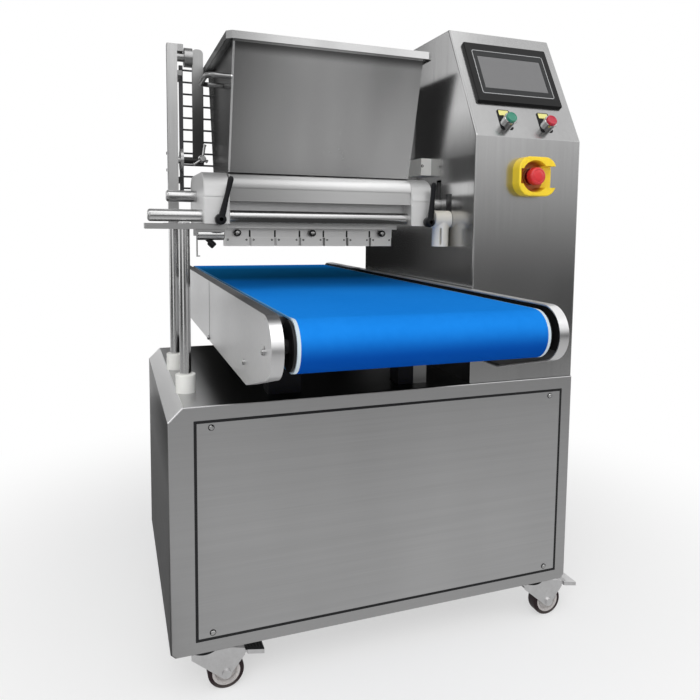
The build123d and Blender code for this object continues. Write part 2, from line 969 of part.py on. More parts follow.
def block_face():
    nose = block_nose_r
    heel = block_heel_r
    diag = math.sqrt(0.5)
    nose_mid = (head_front + nose - nose * diag, block_top - nose + nose * diag)
    heel_mid = (head_back - heel + heel * diag, block_top - heel + heel * diag)
    edges = [
        Line((head_front, head_bottom), (head_front, block_top - nose)),
        ThreePointArc((head_front, block_top - nose), nose_mid, (head_front + nose, block_top)),
        Line((head_front + nose, block_top), (head_back - heel, block_top)),
        ThreePointArc((head_back - heel, block_top), heel_mid, (head_back, block_top - heel)),
        Line((head_back, block_top - heel), (head_back, head_bottom)),
        Line((head_back, head_bottom), (head_front, head_bottom)),
    ]
    return make_face(edges)


def lever_places():
    z = head_bottom + lever_rise
    left = (pump_left - left_lever_inset, z, left_lever_lean)
    right = (right_block - right_lever_inset, z, right_lever_lean)
    return (left, right)


def make_end_blocks():
    blocks = []
    for x0, lever in zip((left_block, pump_right), lever_places()):
        x1 = x0 + block_width
        end = slab(block_face(), x0, x1)
        sides = end.faces().filter_by(Axis.X)
        end = chamfer(sides.edges(), block_edge)
        groove = (head_front, head_front + block_groove)
        z = head_bottom + block_split
        end -= block(x0, x1, *groove, z - block_groove, z + block_groove)
        end -= bar_x(x0, x1, rod_y, rod_z, rod_r + run_clear)
        left = x0 == left_block
        for y in (feed_front, feed_rear):
            seat = x1 - shaft_seat - end_play if left else x0
            end -= bar_x(seat, x1, y, feed_z, shaft_r + run_clear)
        if left:
            end -= bar_x(x0, x0 + stub_depth, head_mid + stub_depth / 2, stub_z, rod_r + run_clear)
        depth = lever_stud_length + end_play
        end -= bar_y(lever[0], head_front, head_front + depth, lever[1], lever_stud_r + run_clear)
        blocks.append(end)
    return Compound(children=blocks)


def nozzle_xs():
    first = pump_left + manifold_end + nozzle_pitch / 2
    return [first + i * nozzle_pitch for i in range(nozzle_count)]


def make_pump_body():
    body = block(pump_left, pump_right, pump_front, pump_back, head_bottom, block_top)
    for y in (feed_front, feed_rear):
        body -= bar_x(pump_left, pump_right, y, feed_z, cavity_r)
    body -= block(pump_left, pump_right, trough_front, trough_back, feed_z, block_top)
    for x in nozzle_xs():
        half = outlet_length / 2
        wide = outlet_width / 2
        body -= block(x - half, x + half, head_mid - wide, head_mid + wide, head_bottom, feed_z)
    return body


def make_pump_cover():
    front = pump_cover_front
    low = block_top - pump_cover_drop
    nose = pump_cover_nose
    step = pump_cover_step
    diag = math.sqrt(0.5)
    arc_mid = (front + nose - nose * diag, block_top - nose + nose * diag)
    edges = [
        Line((front, block_top - nose - step), (front, block_top - nose)),
        ThreePointArc((front, block_top - nose), arc_mid, (front + nose, block_top)),
        Line((front + nose, block_top), (pump_front, block_top)),
        Line((pump_front, block_top), (pump_front, low)),
        Line((pump_front, low), (front + step, low)),
        Line((front + step, low), (front + step, block_top - nose - step)),
        Line((front + step, block_top - nose - step), (front, block_top - nose - step)),
    ]
    cover = slab(make_face(edges), pump_left, pump_right)
    wall = pump_cover_wall
    hollow = (front + step + wall + nose / 4, pump_front)
    return cover - block(pump_left + wall, pump_right - wall, *hollow, low + wall, block_top - wall - step)


def make_nozzle_manifold():
    x0 = pump_left + manifold_end
    x1 = pump_right - manifold_end
    half = manifold_plate_depth / 2
    plate = block(x0, x1, head_mid - half, head_mid + half, head_bottom - manifold_plate, head_bottom)
    half = manifold_bar_depth / 2
    manifold = plate + block(x0, x1, head_mid - half, head_mid + half, nozzle_top, head_bottom - manifold_plate)
    for x in nozzle_xs():
        manifold -= bar_z(x, head_mid, nozzle_top, head_bottom, nozzle_bore_r)
    return manifold


def make_nozzle_blocks():
    nozzles = []
    half = (nozzle_pitch - nozzle_gap) / 2
    deep = nozzle_depth / 2
    for x in nozzle_xs():
        piece = block(x - half, x + half, head_mid - deep, head_mid + deep, nozzle_bottom, nozzle_top)
        piece -= bar_z(x, head_mid, nozzle_bottom, nozzle_top, nozzle_bore_r)
        mouth = Pos(x, head_mid, nozzle_bottom + nozzle_height / 4)
        nozzles.append(piece - mouth * Cone(nozzle_mouth_r, nozzle_bore_r, nozzle_height / 2))
    return Compound(children=nozzles)


def make_thumb_screws():
    screws = []
    front = head_mid - manifold_bar_depth / 2
    z = nozzle_top + manifold_bar / 2
    span = nozzle_pitch * (nozzle_count - 1)
    for i in range(thumb_count):
        x = nozzle_xs()[0] + i * span / (thumb_count - 1)
        knob = bar_y(x, front - thumb_length, front - thumb_length / 3, z, thumb_r)
        screws.append(knob + bar_y(x, front - thumb_length, front, z, thumb_r / 2))
    top = bar_bottom - clamp_plate
    x = (post_x + left_block + bar_lap) / 2
    knob = bar_z(x, rod_y, top - clamp_screw - clamp_knob, top - clamp_screw, clamp_knob_r)
    knob = chamfer(knob.edges(), clamp_knob_r / 6)
    screws.append(knob + bar_z(x, rod_y, top - clamp_screw, top, clamp_screw_r))
    return Compound(children=screws)


def gear_face(turn):
    pitch_r = gear_spacing / 2
    step = 2 * math.pi / gear_teeth
    root = (pitch_r - 1.2 * gear_module, 0.30)
    tip = (pitch_r + 0.9 * gear_module, 0.10)
    points = []
    for i in range(gear_teeth):
        for r, share in ((root[0], -root[1]), (tip[0], -tip[1]), (tip[0], tip[1]), (root[0], root[1])):
            angle = turn + (i + share) * step
            points.append((r * math.cos(angle), r * math.sin(angle)))
    return make_face(Polyline(*points, close=True))


def make_feed_roller(y, turn):
    roller = bar_x(pump_left + end_play, pump_right - end_play, y, feed_z, feed_r)
    for i in range(flute_count):
        angle = 2 * math.pi * (i + 0.5) / flute_count
        flute_y = y + feed_r * math.cos(angle)
        flute_z = feed_z + feed_r * math.sin(angle)
        roller -= bar_x(pump_left, pump_right, flute_y, flute_z, flute_r)
    roller += bar_x(pump_left - shaft_seat, motor_left - end_play, y, feed_z, shaft_r)
    place = Plane(origin=(gear_left, y, feed_z), x_dir=(0, 1, 0), z_dir=(1, 0, 0))
    return roller + extrude(place * gear_face(turn), amount=gear_width)


def standoff_places():
    offset = standoff_offset
    return [(feed_front + a * offset, feed_z + b * offset) for a in (-1, 1) for b in (-1, 1)]


def make_column_carriage():
    margin = carriage_margin
    low = min(rod_z, feed_z) - 2 * margin
    plate = block(carriage_left, carriage_right, rod_y - margin, feed_rear + margin, low, feed_z + 2 * margin)
    plate -= bar_x(carriage_left, carriage_right, rod_y, rod_z, rod_r + run_clear)
    for y in (feed_front, feed_rear):
        plate -= bar_x(carriage_left, carriage_right, y, feed_z, shaft_r + run_clear)
    for y, z in standoff_places():
        plate += bar_x(carriage_right, motor_left, y, z, standoff_r)
    return plate


def make_feed_motor():
    half = motor_flange / 2
    x1 = motor_left + motor_flange_thick
    flange = block(motor_left, x1, feed_front - half, feed_front + half, feed_z - half, feed_z + half)
    return flange + bar_x(x1, x1 + motor_length, feed_front, feed_z, motor_r)


def make_rod_boss():
    x1 = -boss_gap
    x0 = x1 - boss_length
    middle = (x0 + x1) / 2
    boss = bar_x(x0, x1, rod_y, rod_z, boss_r)
    boss += bar_z(middle, rod_y, rod_z - boss_foot_drop, rod_z, boss_foot_r)
    low = rod_z - boss_foot_drop
    slot_x = middle - boss_foot_r / 2
    boss -= block(slot_x, slot_x + boss_slot, rod_y - boss_r, rod_y, low + boss_slot, rod_z - boss_r)
    return boss - bar_x(x0, x1, rod_y, rod_z, rod_r + run_clear)


def make_clamp_lever(place):
    x, z, lean = place
    hub_back = head_front - lever_gap
    hub_front = hub_back - lever_hub_length
    lever = bar_y(x, hub_front, hub_back, z, lever_hub_r)
    lever = fillet(lever.faces().sort_by(Axis.Y)[0].edges(), lever_hub_r / 3)
    root = lever_root / 2
    tip = lever_tip / 2
    outline = [(-root, 0), (root, 0), (tip, lever_length), (-tip, lever_length)]
    arm = along_y(outline, hub_front, hub_front + lever_thick)
    arm = fillet(arm.faces().sort_by(Axis.Z)[-1].edges(), lever_tip / 4)
    lever += Pos(x, 0, z) * Rot(0, lean, 0) * arm
    return lever + bar_y(x, hub_back, head_front + lever_stud_length, z, lever_stud_r)


# Guard pieces


def stay_left():
    return post_x + upright_side / 2 + stay_gap


def make_guard_frame():
    half = upright_side / 2
    top = head_bottom + upright_height
    frame = block(post_x - half, post_x + half, post_rear - half, post_rear + half, head_bottom, top)
    cap = upright_cap_width - half
    frame += block(post_x - half, post_x + cap, post_rear - half, post_rear + half, top - upright_cap, top)
    x0 = stay_left()
    x1 = x0 + stay_width
    thick = stay_thick / 2
    stay_low = head_bottom + stay_bottom
    stay = block(x0, x1, post_rear - thick, post_rear + thick, stay_low, top - stay_top_gap)
    frame += fillet(stay.edges().filter_by(Axis.Y).group_by(Axis.Z)[-1], stay_round)
    frame += bar_x(post_x, x0, post_rear, top - tie_drop, tie_r)
    frame += bar_x(x0 - tie_boss, x0, post_rear, top - tie_drop, tie_boss_r)
    lower = head_bottom + lower_tie_rise
    frame += bar_x(post_x, x1, post_rear, lower, lower_tie_r)
    disc = post_x + half + flange_gap
    frame += bar_x(disc, disc + flange_thick, post_rear, lower, flange_r)
    rail = guard_rail_left()
    for rise in (arm_low, arm_high):
        z = head_bottom + rise
        y1 = guard_y + guard_rail
        frame += block(rail - arm_side, rail, post_rear, y1, z, z + arm_side)
    return frame


def guard_rail_left():
    return post_x + upright_side / 2 + guard_rail_gap


def make_rear_guard():
    x0 = guard_rail_left()
    x1 = -guard_end_gap
    y0 = guard_y
    y1 = guard_y + guard_rail
    z0 = head_bottom + guard_start - guard_end_margin
    span = guard_wire_pitch * (guard_wire_count - 1)
    z1 = head_bottom + guard_start + span + guard_end_margin
    guard = block(x0, x0 + guard_rail, y0, y1, z0, z1) + block(x1 - guard_rail, x1, y0, y1, z0, z1)
    for i in range(guard_wire_count):
        z = head_bottom + guard_start + i * guard_wire_pitch
        guard += bar_x(x0, x1, (y0 + y1) / 2, z, guard_wire_r)
    low = block_top - block_heel_r - arm_side
    return guard + block(x1 - arm_side, x1, head_back, y1, low, z0 + arm_side)


# Hopper


def hopper_face(inset):
    slant_front = inset * math.hypot(hopper_front_lean, hopper_height) / hopper_height
    slant_back = inset * math.hypot(hopper_back_lean, hopper_height) / hopper_height
    return [
        (hopper_front + slant_front, block_top),
        (rim_front + slant_front, hopper_top),
        (rim_back - slant_back, hopper_top),
        (hopper_back - slant_back, block_top),
    ]


def make_hopper_rim():
    rim = block(
        pump_left - rim_width,
        pump_right + rim_width,
        rim_front - rim_width,
        rim_back + rim_width,
        hopper_top - rim_height,
        hopper_top,
    )
    rim = chamfer(rim.edges().filter_by(Axis.Z), rim_corner)
    wall = hopper_sheet
    under = (hopper_top - rim_height, hopper_top - wall)
    x0 = pump_left - rim_width + wall
    x1 = pump_right + rim_width - wall
    hollow = block(x0, x1, rim_front - rim_width + wall, rim_back + rim_width - wall, *under)
    hollow = chamfer(hollow.edges().filter_by(Axis.Z), rim_corner - wall / 2)
    return rim - hollow


def handle_start(side):
    return rim_front + handle_from_front + (right_handle_back if side > 0 else 0)


def make_hopper_handle(side):
    wall = pump_left if side < 0 else pump_right
    tip = wall + side * handle_reach
    root = wall - side * hopper_sheet / 2
    y0 = handle_start(side)
    y1 = y0 + handle_span
    z = hopper_top - handle_drop
    route = [(root, y0, z), (tip, y0, z), (tip, y1, z), (root, y1, z)]
    path = FilletPolyline(*route, radius=handle_bend)
    start = Plane(origin=path @ 0, z_dir=path % 0)
    return sweep(start * Circle(handle_r), path=path)


def make_hopper():
    wall = hopper_sheet
    hopper = along_x(hopper_face(0), pump_left, pump_right) + make_hopper_rim()
    floor = block_top + wall
    inside = along_x(hopper_face(wall), pump_left + wall, pump_right - wall)
    inside -= block(pump_left, pump_right, hopper_front, hopper_back, block_top, floor)
    hopper -= inside
    clear = spigot_clear
    x0 = pump_left + clear
    x1 = pump_right - clear
    y0 = trough_front + clear
    y1 = trough_back - clear
    hopper += block(x0, x1, y0, y1, block_top - spigot_depth, block_top)
    hopper -= block(x0 + wall, x1 - wall, y0 + wall, y1 - wall, block_top - spigot_depth, floor)
    for side in (-1, 1):
        handle = make_hopper_handle(side)
        hopper += handle - along_x(hopper_face(wall), pump_left + wall, pump_right - wall)
    return hopper


# Casters, each around its swivel axis with the wheel trailing to the right


def raceway_bottom():
    return caster_height - caster_plate_thick - raceway_height


def fork_top():
    return raceway_bottom() - swivel_gap


def make_caster_plate():
    half_x = caster_plate_x / 2
    half_y = caster_plate_y / 2
    low = caster_height - caster_plate_thick
    plate = block(-half_x, half_x, -half_y, half_y, low, caster_height)
    plate += bar_z(0, 0, raceway_bottom(), low, raceway_r)
    return plate - bar_z(0, 0, raceway_bottom(), low, kingpin_r + run_clear)


def leg_inner():
    return wheel_width / 2 + wheel_gap


def make_caster_fork(braked):
    top = fork_top()
    inner = leg_inner()
    outer = inner + fork_leg
    reach = caster_plate_x / 2 - fork_leg
    ear = pedal_pivot_x + pedal_hub_r + fork_leg
    drop = pedal_pivot_drop
    foot = wheel_r - 2 * axle_r
    outline = [
        (-raceway_r, top),
        (reach + trail / 3, top),
        (ear, top - drop / 2),
        (ear, top - drop - pedal_hub_r),
        (trail + 2 * axle_r, wheel_r),
        (trail + axle_r, foot),
        (trail - axle_r, foot),
        (-raceway_r, top - 2 * fork_thick),
    ]
    fork = block(-raceway_r, reach + trail / 3, -outer, outer, top - fork_thick, top)
    for y0 in (-outer, inner):
        fork += along_y(outline, y0, y0 + fork_leg)
    pin_top = caster_height - caster_plate_thick - end_play
    fork += bar_z(0, 0, top - fork_thick, pin_top, kingpin_r)
    fork += bar_y(trail, -outer, outer, wheel_r, axle_r)
    for y0 in (-outer - axle_nut, outer):
        fork += bar_y(trail, y0, y0 + axle_nut, wheel_r, axle_nut_r)
    if braked:
        fork += bar_y(pedal_pivot_x, -outer, outer, top - drop, pedal_pin_r)
    return fork


def make_caster_hub():
    half = wheel_width / 2
    hub = bar_y(trail, -half, half, wheel_r, hub_r)
    ring = (hub_r + axle_nut_r) / 2
    for y0 in (-half, half - hub_recess):
        dish = bar_y(trail, y0, y0 + hub_recess, wheel_r, hub_r - fork_leg)
        hub -= dish - bar_y(trail, y0, y0 + hub_recess, wheel_r, ring - axle_r)
    return hub - bar_y(trail, -half, half, wheel_r, axle_r + run_clear)


def make_caster_tyre():
    half = wheel_width / 2
    tyre = bar_y(trail, -half, half, wheel_r, wheel_r)
    tyre = fillet(tyre.edges().filter_by(GeomType.CIRCLE), (wheel_r - hub_r) / 2)
    return tyre - bar_y(trail, -half, half, wheel_r, hub_r)


def make_caster_pedal():
    z = fork_top() - pedal_pivot_drop
    half = leg_inner() - pedal_side_gap
    pivot = pedal_pivot_x
    thick = pedal_thick
    arm = [
        (pivot, z + pedal_hub_r),
        (pedal_wide_from + thick, z + thick / 2),
        (pedal_wide_from + thick, z - thick / 2),
        (pivot, z - pedal_hub_r),
    ]
    tread = [
        (pedal_wide_from, z + thick / 2),
        (pedal_reach, z - pedal_fall + thick / 2),
        (pedal_reach, z - pedal_fall - thick / 2),
        (pedal_wide_from, z - thick / 2),
    ]
    pedal = bar_y(pivot, -half, half, z, pedal_hub_r) + along_y(arm, -half, half)
    pedal += along_y(tread, -pedal_width / 2, pedal_width / 2)
    return pedal - bar_y(pivot, -half, half, z, pedal_pin_r + run_clear)


def caster_places():
    front = caster_inset_y
    rear = cabinet_depth - caster_inset_y
    return {
        "front_left": (caster_left, front, True),
        "front_right": (caster_right, front, True),
        "rear_left": (caster_left, rear, False),
        "rear_right": (caster_right, rear, False),
    }


def make_nodes():
    left_lever, right_lever = lever_places()
    nodes = {
        "cabinet_shell": make_cabinet_shell(),
        "front_panel": make_panel(True),
        "rear_panel": make_panel(False),
        "cover_screws": make_cover_screws(),
        "column_shell": make_column_shell(),
        "column_back_cover": make_column_back_cover(),
        "hmi_bezel": make_hmi_bezel(),
        "hmi_screen": make_hmi_screen(),
        "button_collars": make_button_collars(),
        "estop_guard": make_estop_guard(),
        "start_button_cap": make_button_cap(-1),
        "stop_button_cap": make_button_cap(1),
        "estop_stem": make_estop_stem(),
        "estop_mushroom": make_estop_mushroom(),
        "hopper_sensor_block": make_hopper_sensor_block(),
        "post_bushes": make_post_bushes(),
        "control_plate": make_control_plate(),
        "lift_actuator": make_lift_actuator(),
        "left_conveyor_cover": make_conveyor_cover(True),
        "right_conveyor_cover": make_conveyor_cover(False),
        "conveyor_frame": make_conveyor_frame(),
        "conveyor_bed": make_conveyor_bed(),
        "conveyor_belt": make_conveyor_belt(),
        "nose_roller": make_belt_roller(nose_y),
        "drive_roller": make_belt_roller(tail_y),
        "lift_posts": make_lift_posts(),
        "lift_crosshead": make_lift_crosshead(),
        "support_bars": make_support_bars(),
        "head_rods": make_head_rods(),
        "end_blocks": make_end_blocks(),
        "pump_body": make_pump_body(),
        "pump_cover": make_pump_cover(),
        "nozzle_manifold": make_nozzle_manifold(),
        "nozzle_blocks": make_nozzle_blocks(),
        "thumb_screws": make_thumb_screws(),
        "front_feed_roller": make_feed_roller(feed_front, 0),
        "rear_feed_roller": make_feed_roller(feed_rear, math.pi / gear_teeth),
        "column_carriage": make_column_carriage(),
        "feed_motor": make_feed_motor(),
        "rod_boss": make_rod_boss(),
        "left_clamp_lever": make_clamp_lever(left_lever),
        "right_clamp_lever": make_clamp_lever(right_lever),
        "guard_frame": make_guard_frame(),
        "rear_guard": make_rear_guard(),
        "hopper": make_hopper(),
    }
    plates = []
    for corner, (x, y, braked) in caster_places().items():
        place = Pos(x, y, 0)
        plates.append(place * make_caster_plate())
        nodes[corner + "_fork"] = place * make_caster_fork(braked)
        nodes[corner + "_hub"] = place * make_caster_hub()
        nodes[corner + "_tyre"] = place * make_caster_tyre()
        if braked:
            nodes[corner + "_pedal"] = place * make_caster_pedal()
    nodes["caster_plates"] = Compound(children=plates)
    return nodes


def main():
    os.makedirs("parts", exist_ok=True)
    for name, shape in make_nodes().items():
        export_step(to_box_centre * shape, os.path.join("parts", name + ".step"))


if __name__ == "__main__":
    main()
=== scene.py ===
import math
import bmesh
import bpy
from mathutils import Matrix, Vector


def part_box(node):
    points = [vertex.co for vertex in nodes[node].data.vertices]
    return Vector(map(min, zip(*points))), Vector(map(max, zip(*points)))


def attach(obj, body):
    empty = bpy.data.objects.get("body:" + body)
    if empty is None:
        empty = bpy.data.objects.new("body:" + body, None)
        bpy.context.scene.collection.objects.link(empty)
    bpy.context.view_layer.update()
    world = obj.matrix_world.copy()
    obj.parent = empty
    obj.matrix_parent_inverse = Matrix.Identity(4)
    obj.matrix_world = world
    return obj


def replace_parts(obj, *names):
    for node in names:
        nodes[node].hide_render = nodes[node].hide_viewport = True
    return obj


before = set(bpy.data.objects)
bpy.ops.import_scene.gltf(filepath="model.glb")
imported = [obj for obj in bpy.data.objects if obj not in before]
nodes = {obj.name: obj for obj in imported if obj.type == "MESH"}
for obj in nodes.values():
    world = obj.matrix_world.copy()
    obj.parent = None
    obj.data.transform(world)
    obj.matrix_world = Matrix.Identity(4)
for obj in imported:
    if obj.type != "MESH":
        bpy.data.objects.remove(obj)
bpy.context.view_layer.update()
scene = bpy.context.scene
print("frame loaded:", len(nodes), "nodes")


def shade(red, green, blue):  # screen values 0 to 255 to scene colour
    def line(v):
        v /= 255.0
        return v / 12.92 if v <= 0.04045 else ((v + 0.055) / 1.055) ** 2.4
    return (line(red), line(green), line(blue), 1.0)


def grey(level, blue=None):
    return (level, level, blue or level, 1.0)


def scaled(colour, k):
    return tuple(min(1.0, c * k) for c in colour[:3]) + (1.0,)


def newObject(name, data):
    made = bpy.data.objects.new(name, data)
    scene.collection.objects.link(made)
    return made


# node helpers: a plain value is set on a socket, an output is linked to it


def feed(value, socket):
    if isinstance(value, bpy.types.NodeSocket):
        socket.id_data.links.new(value, socket)
    else:
        socket.default_value = value


def addNode(kind, feeds, **settings):  # in the tree of the first output that feeds it
    tree = next(v.id_data for v in feeds.values() if isinstance(v, bpy.types.NodeSocket))
    node = tree.nodes.new(kind)
    for key, value in settings.items():
        setattr(node, key, value)
    for key, value in feeds.items():
        feed(value, node.inputs[key])
    return node


def newGroup(kind, name, inputs, outputs):
    tree = bpy.data.node_groups.new(name, kind)
    for label, socketKind, *value in inputs:
        socket = tree.interface.new_socket(label, in_out="INPUT", socket_type="NodeSocket" + socketKind)
        if value:
            socket.default_value = value[0]
    for label, socketKind in outputs:
        tree.interface.new_socket(label, in_out="OUTPUT", socket_type="NodeSocket" + socketKind)
    return tree, tree.nodes.new("NodeGroupInput").outputs, tree.nodes.new("NodeGroupOutput").inputs


def mathNode(operation, *values, clamp=False):
    return addNode("ShaderNodeMath", dict(enumerate(values)), operation=operation, use_clamp=clamp).outputs[0]


def times(product, *others):
    for other in others:
        product = mathNode("MULTIPLY", product, other)
    return product


def minus(a, b, clamp=False):
    return mathNode("SUBTRACT", a, b, clamp=clamp)


def over(value, limit):
    return mathNode("GREATER_THAN", value, limit)


def under(value, limit):
    return mathNode("LESS_THAN", value, limit)


def between(value, low, high):
    return times(over(value, low), under(value, high))


def apart(value, middle):  # distance from a value, either way
    return mathNode("ABSOLUTE", minus(value, middle))


def vectorNode(operation, *values):
    node = addNode("ShaderNodeVectorMath", dict(enumerate(values)), operation=operation)
    return node.outputs["Value" if operation in ("LENGTH", "DOT_PRODUCT") else "Vector"]


def noiseNode(vector, scale, detail=2.0, rough=0.5):
    feeds = {"Vector": vector, "Scale": scale, "Detail": detail, "Roughness": rough}
    return addNode("ShaderNodeTexNoise", feeds).outputs["Fac"]


def mixColour(factor, low, high):
    return addNode("ShaderNodeMix", {0: factor, 6: low, 7: high}, data_type="RGBA").outputs[2]


def rangeNode(value, low, high, start=0.0, stop=1.0, soft=False):
    feeds = {"Value": value, "From Min": start, "From Max": stop, "To Min": low, "To Max": high}
    blend = "SMOOTHSTEP" if soft else "LINEAR"
    return addNode("ShaderNodeMapRange", feeds, interpolation_type=blend).outputs["Result"]


def ramp(value, start, stop, share=1.0):  # soft step from nothing up to a share
    return rangeNode(value, 0.0, share, start, stop, soft=True)


def splitNode(coords):
    return addNode("ShaderNodeSeparateXYZ", {0: coords}).outputs


# shader groups shared by the finishes

grainMix = {"coarse": (0.16, 0.16, 0.16), "hair": 0.55, "streak": 0.45, "hairDetail": 3.0, "hairRough": 0.62}
smudgeMix = {"lean": (1.0, 1.0, 0.55), "detail": 3.0}
skinMix = {"broad": 0.05, "pores": 0.4, "flow": 0.6}
dustMix = {"scale": 140.0, "detail": 4.0, "rough": 0.65}
metalSkin = {"contrast": 1.2, "dust": (0.22, shade(128, 122, 112)), "deep": 0.0004}
mouldSkin = {"dust": shade(150, 144, 134), "deep": 0.0003}


def stretched(value, amount):  # contrast about the middle
    return mathNode("MULTIPLY_ADD", minus(value, 0.5), amount, 0.5, clamp=True)


def makeBrushedGrain():
    d = grainMix
    tree, enter, leave = newGroup(
        "ShaderNodeTree", "brushedGrain",
        [("Coords", "Vector"), ("Stretch", "Vector", (8.0, 8.0, 900.0)), ("Contrast", "Float", 1.0)],
        [("Tone", "Float"), ("Height", "Float")])
    fine = vectorNode("MULTIPLY", enter["Coords"], enter["Stretch"])
    hair = noiseNode(fine, 1.0, d["hairDetail"], d["hairRough"])
    streak = noiseNode(vectorNode("MULTIPLY", fine, d["coarse"]), 1.0)
    both = mathNode("ADD", times(hair, d["hair"]), times(streak, d["streak"]))
    feed(stretched(both, enter["Contrast"]), leave["Tone"])
    feed(hair, leave["Height"])
    return tree


def makeHandSmudge():
    d = smudgeMix
    tree, enter, leave = newGroup(
        "ShaderNodeTree", "handSmudge",
        [("Coords", "Vector"), ("Scale", "Float", 3.0), ("Amount", "Float", 1.0)], [("Tone", "Float")])
    cloud = noiseNode(vectorNode("MULTIPLY", enter["Coords"], d["lean"]), enter["Scale"], d["detail"])
    feed(stretched(cloud, enter["Amount"]), leave["Tone"])
    return tree


def makeMouldedSkin():
    d = skinMix
    tree, enter, leave = newGroup(
        "ShaderNodeTree", "mouldedSkin",
        [("Coords", "Vector"), ("Scale", "Float", 900.0)], [("Tone", "Float"), ("Height", "Float")])
    pores = noiseNode(enter["Coords"], enter["Scale"])
    flow = noiseNode(enter["Coords"], times(enter["Scale"], d["broad"]))
    mixed = mathNode("ADD", times(pores, d["pores"]), times(flow, d["flow"]))
    feed(mixed, leave["Tone"])
    feed(pores, leave["Height"])
    return tree


def makeFloorDust():
    d = dustMix
    tree, enter, leave = newGroup(
        "ShaderNodeTree", "floorDust",
        [("Coords", "Vector"), ("Reach", "Float", 0.08), ("Amount", "Float", 0.3)], [("Mask", "Float")])
    rise = mathNode("DIVIDE", splitNode(enter["Coords"])["Z"], enter["Reach"])
    speck = noiseNode(enter["Coords"], d["scale"], d["detail"], d["rough"])
    near = times(minus(1.0, rise, clamp=True), speck)
    feed(mathNode("MULTIPLY", near, enter["Amount"], clamp=True), leave["Mask"])
    return tree


groups = {"grain": makeBrushedGrain(), "smudge": makeHandSmudge(),
          "skin": makeMouldedSkin(), "dust": makeFloorDust()}
print("shader groups built:", len(groups))

# finishes


def newMaterial(name):
    mat = bpy.data.materials.new(name)
    mat.use_nodes = True
    parts = mat.node_tree.nodes
    return mat, parts["Principled BSDF"], parts.new("ShaderNodeTexCoord").outputs["Object"]


def useGroup(key, coords, **values):
    return addNode("ShaderNodeGroup", {"Coords": coords, **values}, node_tree=groups[key]).outputs


def averaged(a, b):
    return times(mathNode("ADD", a, b), 0.5)


def varied(tone, colour, depth, lift=None):  # darker and lighter by the tone
    return mixColour(tone, scaled(colour, 1 - depth), scaled(colour, 1 + (lift or depth)))


def dusted(coords, base, amount, reach, colour):
    film = useGroup("dust", coords, Reach=reach, Amount=amount)
    return mixColour(film["Mask"], base, colour)


def paintedShadeTowards(coords, base, colour, axis, start, stop, share):  # painted shade: the colour darkened towards one end
    end = rangeNode(splitNode(coords)[axis], 1.0, 0.0, start, stop, soft=True)
    return mixColour(end, base, scaled(colour, share))


def brushedTone(coords, stretch, smudgeScale, smudge):  # hair lines and hand marks, half each
    grain = useGroup("grain", coords, Stretch=stretch, Contrast=metalSkin["contrast"])
    cloud = useGroup("smudge", coords, Scale=smudgeScale, Amount=smudge)
    return averaged(grain["Tone"], cloud["Tone"]), grain["Height"]


def finishOff(shader, base, tone, rough, swing, height, bump, deep=metalSkin["deep"]):
    roughness = mathNode("MULTIPLY_ADD", minus(0.5, tone), 2 * swing, rough)
    ripple = addNode("ShaderNodeBump", {"Strength": bump, "Distance": deep, "Height": height})
    feed(base, shader.inputs["Base Color"])
    feed(roughness, shader.inputs["Roughness"])
    feed(ripple.outputs["Normal"], shader.inputs["Normal"])


def metalFinish(name, colour, rough, stretch, swing=0.10, smudge=0.9, smudgeScale=2.6, depth=0.14, bump=0.05,
                dust=0.0, dull=None, marks=None):
    mat, shader, coords = newMaterial(name)
    shader.inputs["Metallic"].default_value = 1.0
    tone, hair = brushedTone(coords, stretch, smudgeScale, smudge)
    base = varied(tone, colour, depth)
    # painted shade towards one end, where a finish asks for it
    if dull:
        base = paintedShadeTowards(coords, base, colour, *dull)
    if dust:
        base = dusted(coords, base, dust, *metalSkin["dust"])
    if marks:  # what only this piece shows
        base = marks(coords, base)
    finishOff(shader, base, tone, rough, swing, hair, bump)
    return mat


def mouldFinish(name, colour, rough, scale, depth, bump, coat=0.0, dust=0.0, reach=0.06, gloss=0.5, lift=None,
                swing=0.06, marks=None):
    mat, shader, coords = newMaterial(name)
    skin = useGroup("skin", coords, Scale=scale)
    base = varied(skin["Tone"], colour, depth, lift)
    if dust:
        base = dusted(coords, base, dust, reach, mouldSkin["dust"])
    if marks:
        base = marks(coords, base)
    shader.inputs["Coat Weight"].default_value = coat
    shader.inputs["Specular IOR Level"].default_value = gloss
    finishOff(shader, base, skin["Tone"], rough, swing, skin["Height"], bump, mouldSkin["deep"])
    return mat


alongX = (7.0, 500.0, 800.0)  # grain running left to right
levelGrain = (7.0, 7.0, 800.0)  # grain level on every upright face
uprightGrain = (800.0, 800.0, 7.0)  # grain running up and down
roundGrain = (500.0, 500.0, 500.0)  # even, no direction

hopperLook = {"steel": grey(0.58), "dull": (-0.345, -0.15, 0.46),
              "streak": (11.0, 11.0, 0.9), "streakRange": (-0.6, 1.6), "streakTone": 1.32,
              "rimFoot": 1.148, "rimShadow": (1.128, 1.146), "rimShadowDepth": 0.8, "rimShadowTone": 0.1,
              "wall": (-0.2972, -0.2952), "wallShadeBand": (1.04, 1.125), "wallShadeTones": (0.30, 0.05),
              "rimShadeSide": (-0.3085, -0.2695), "rimShadeTone": 0.22, "edgeHighlight": 0.0026, "edgeHighlightTone": 1.5,
              "foot": (-0.203, 0.931), "lean": 63.0 / 230.0}


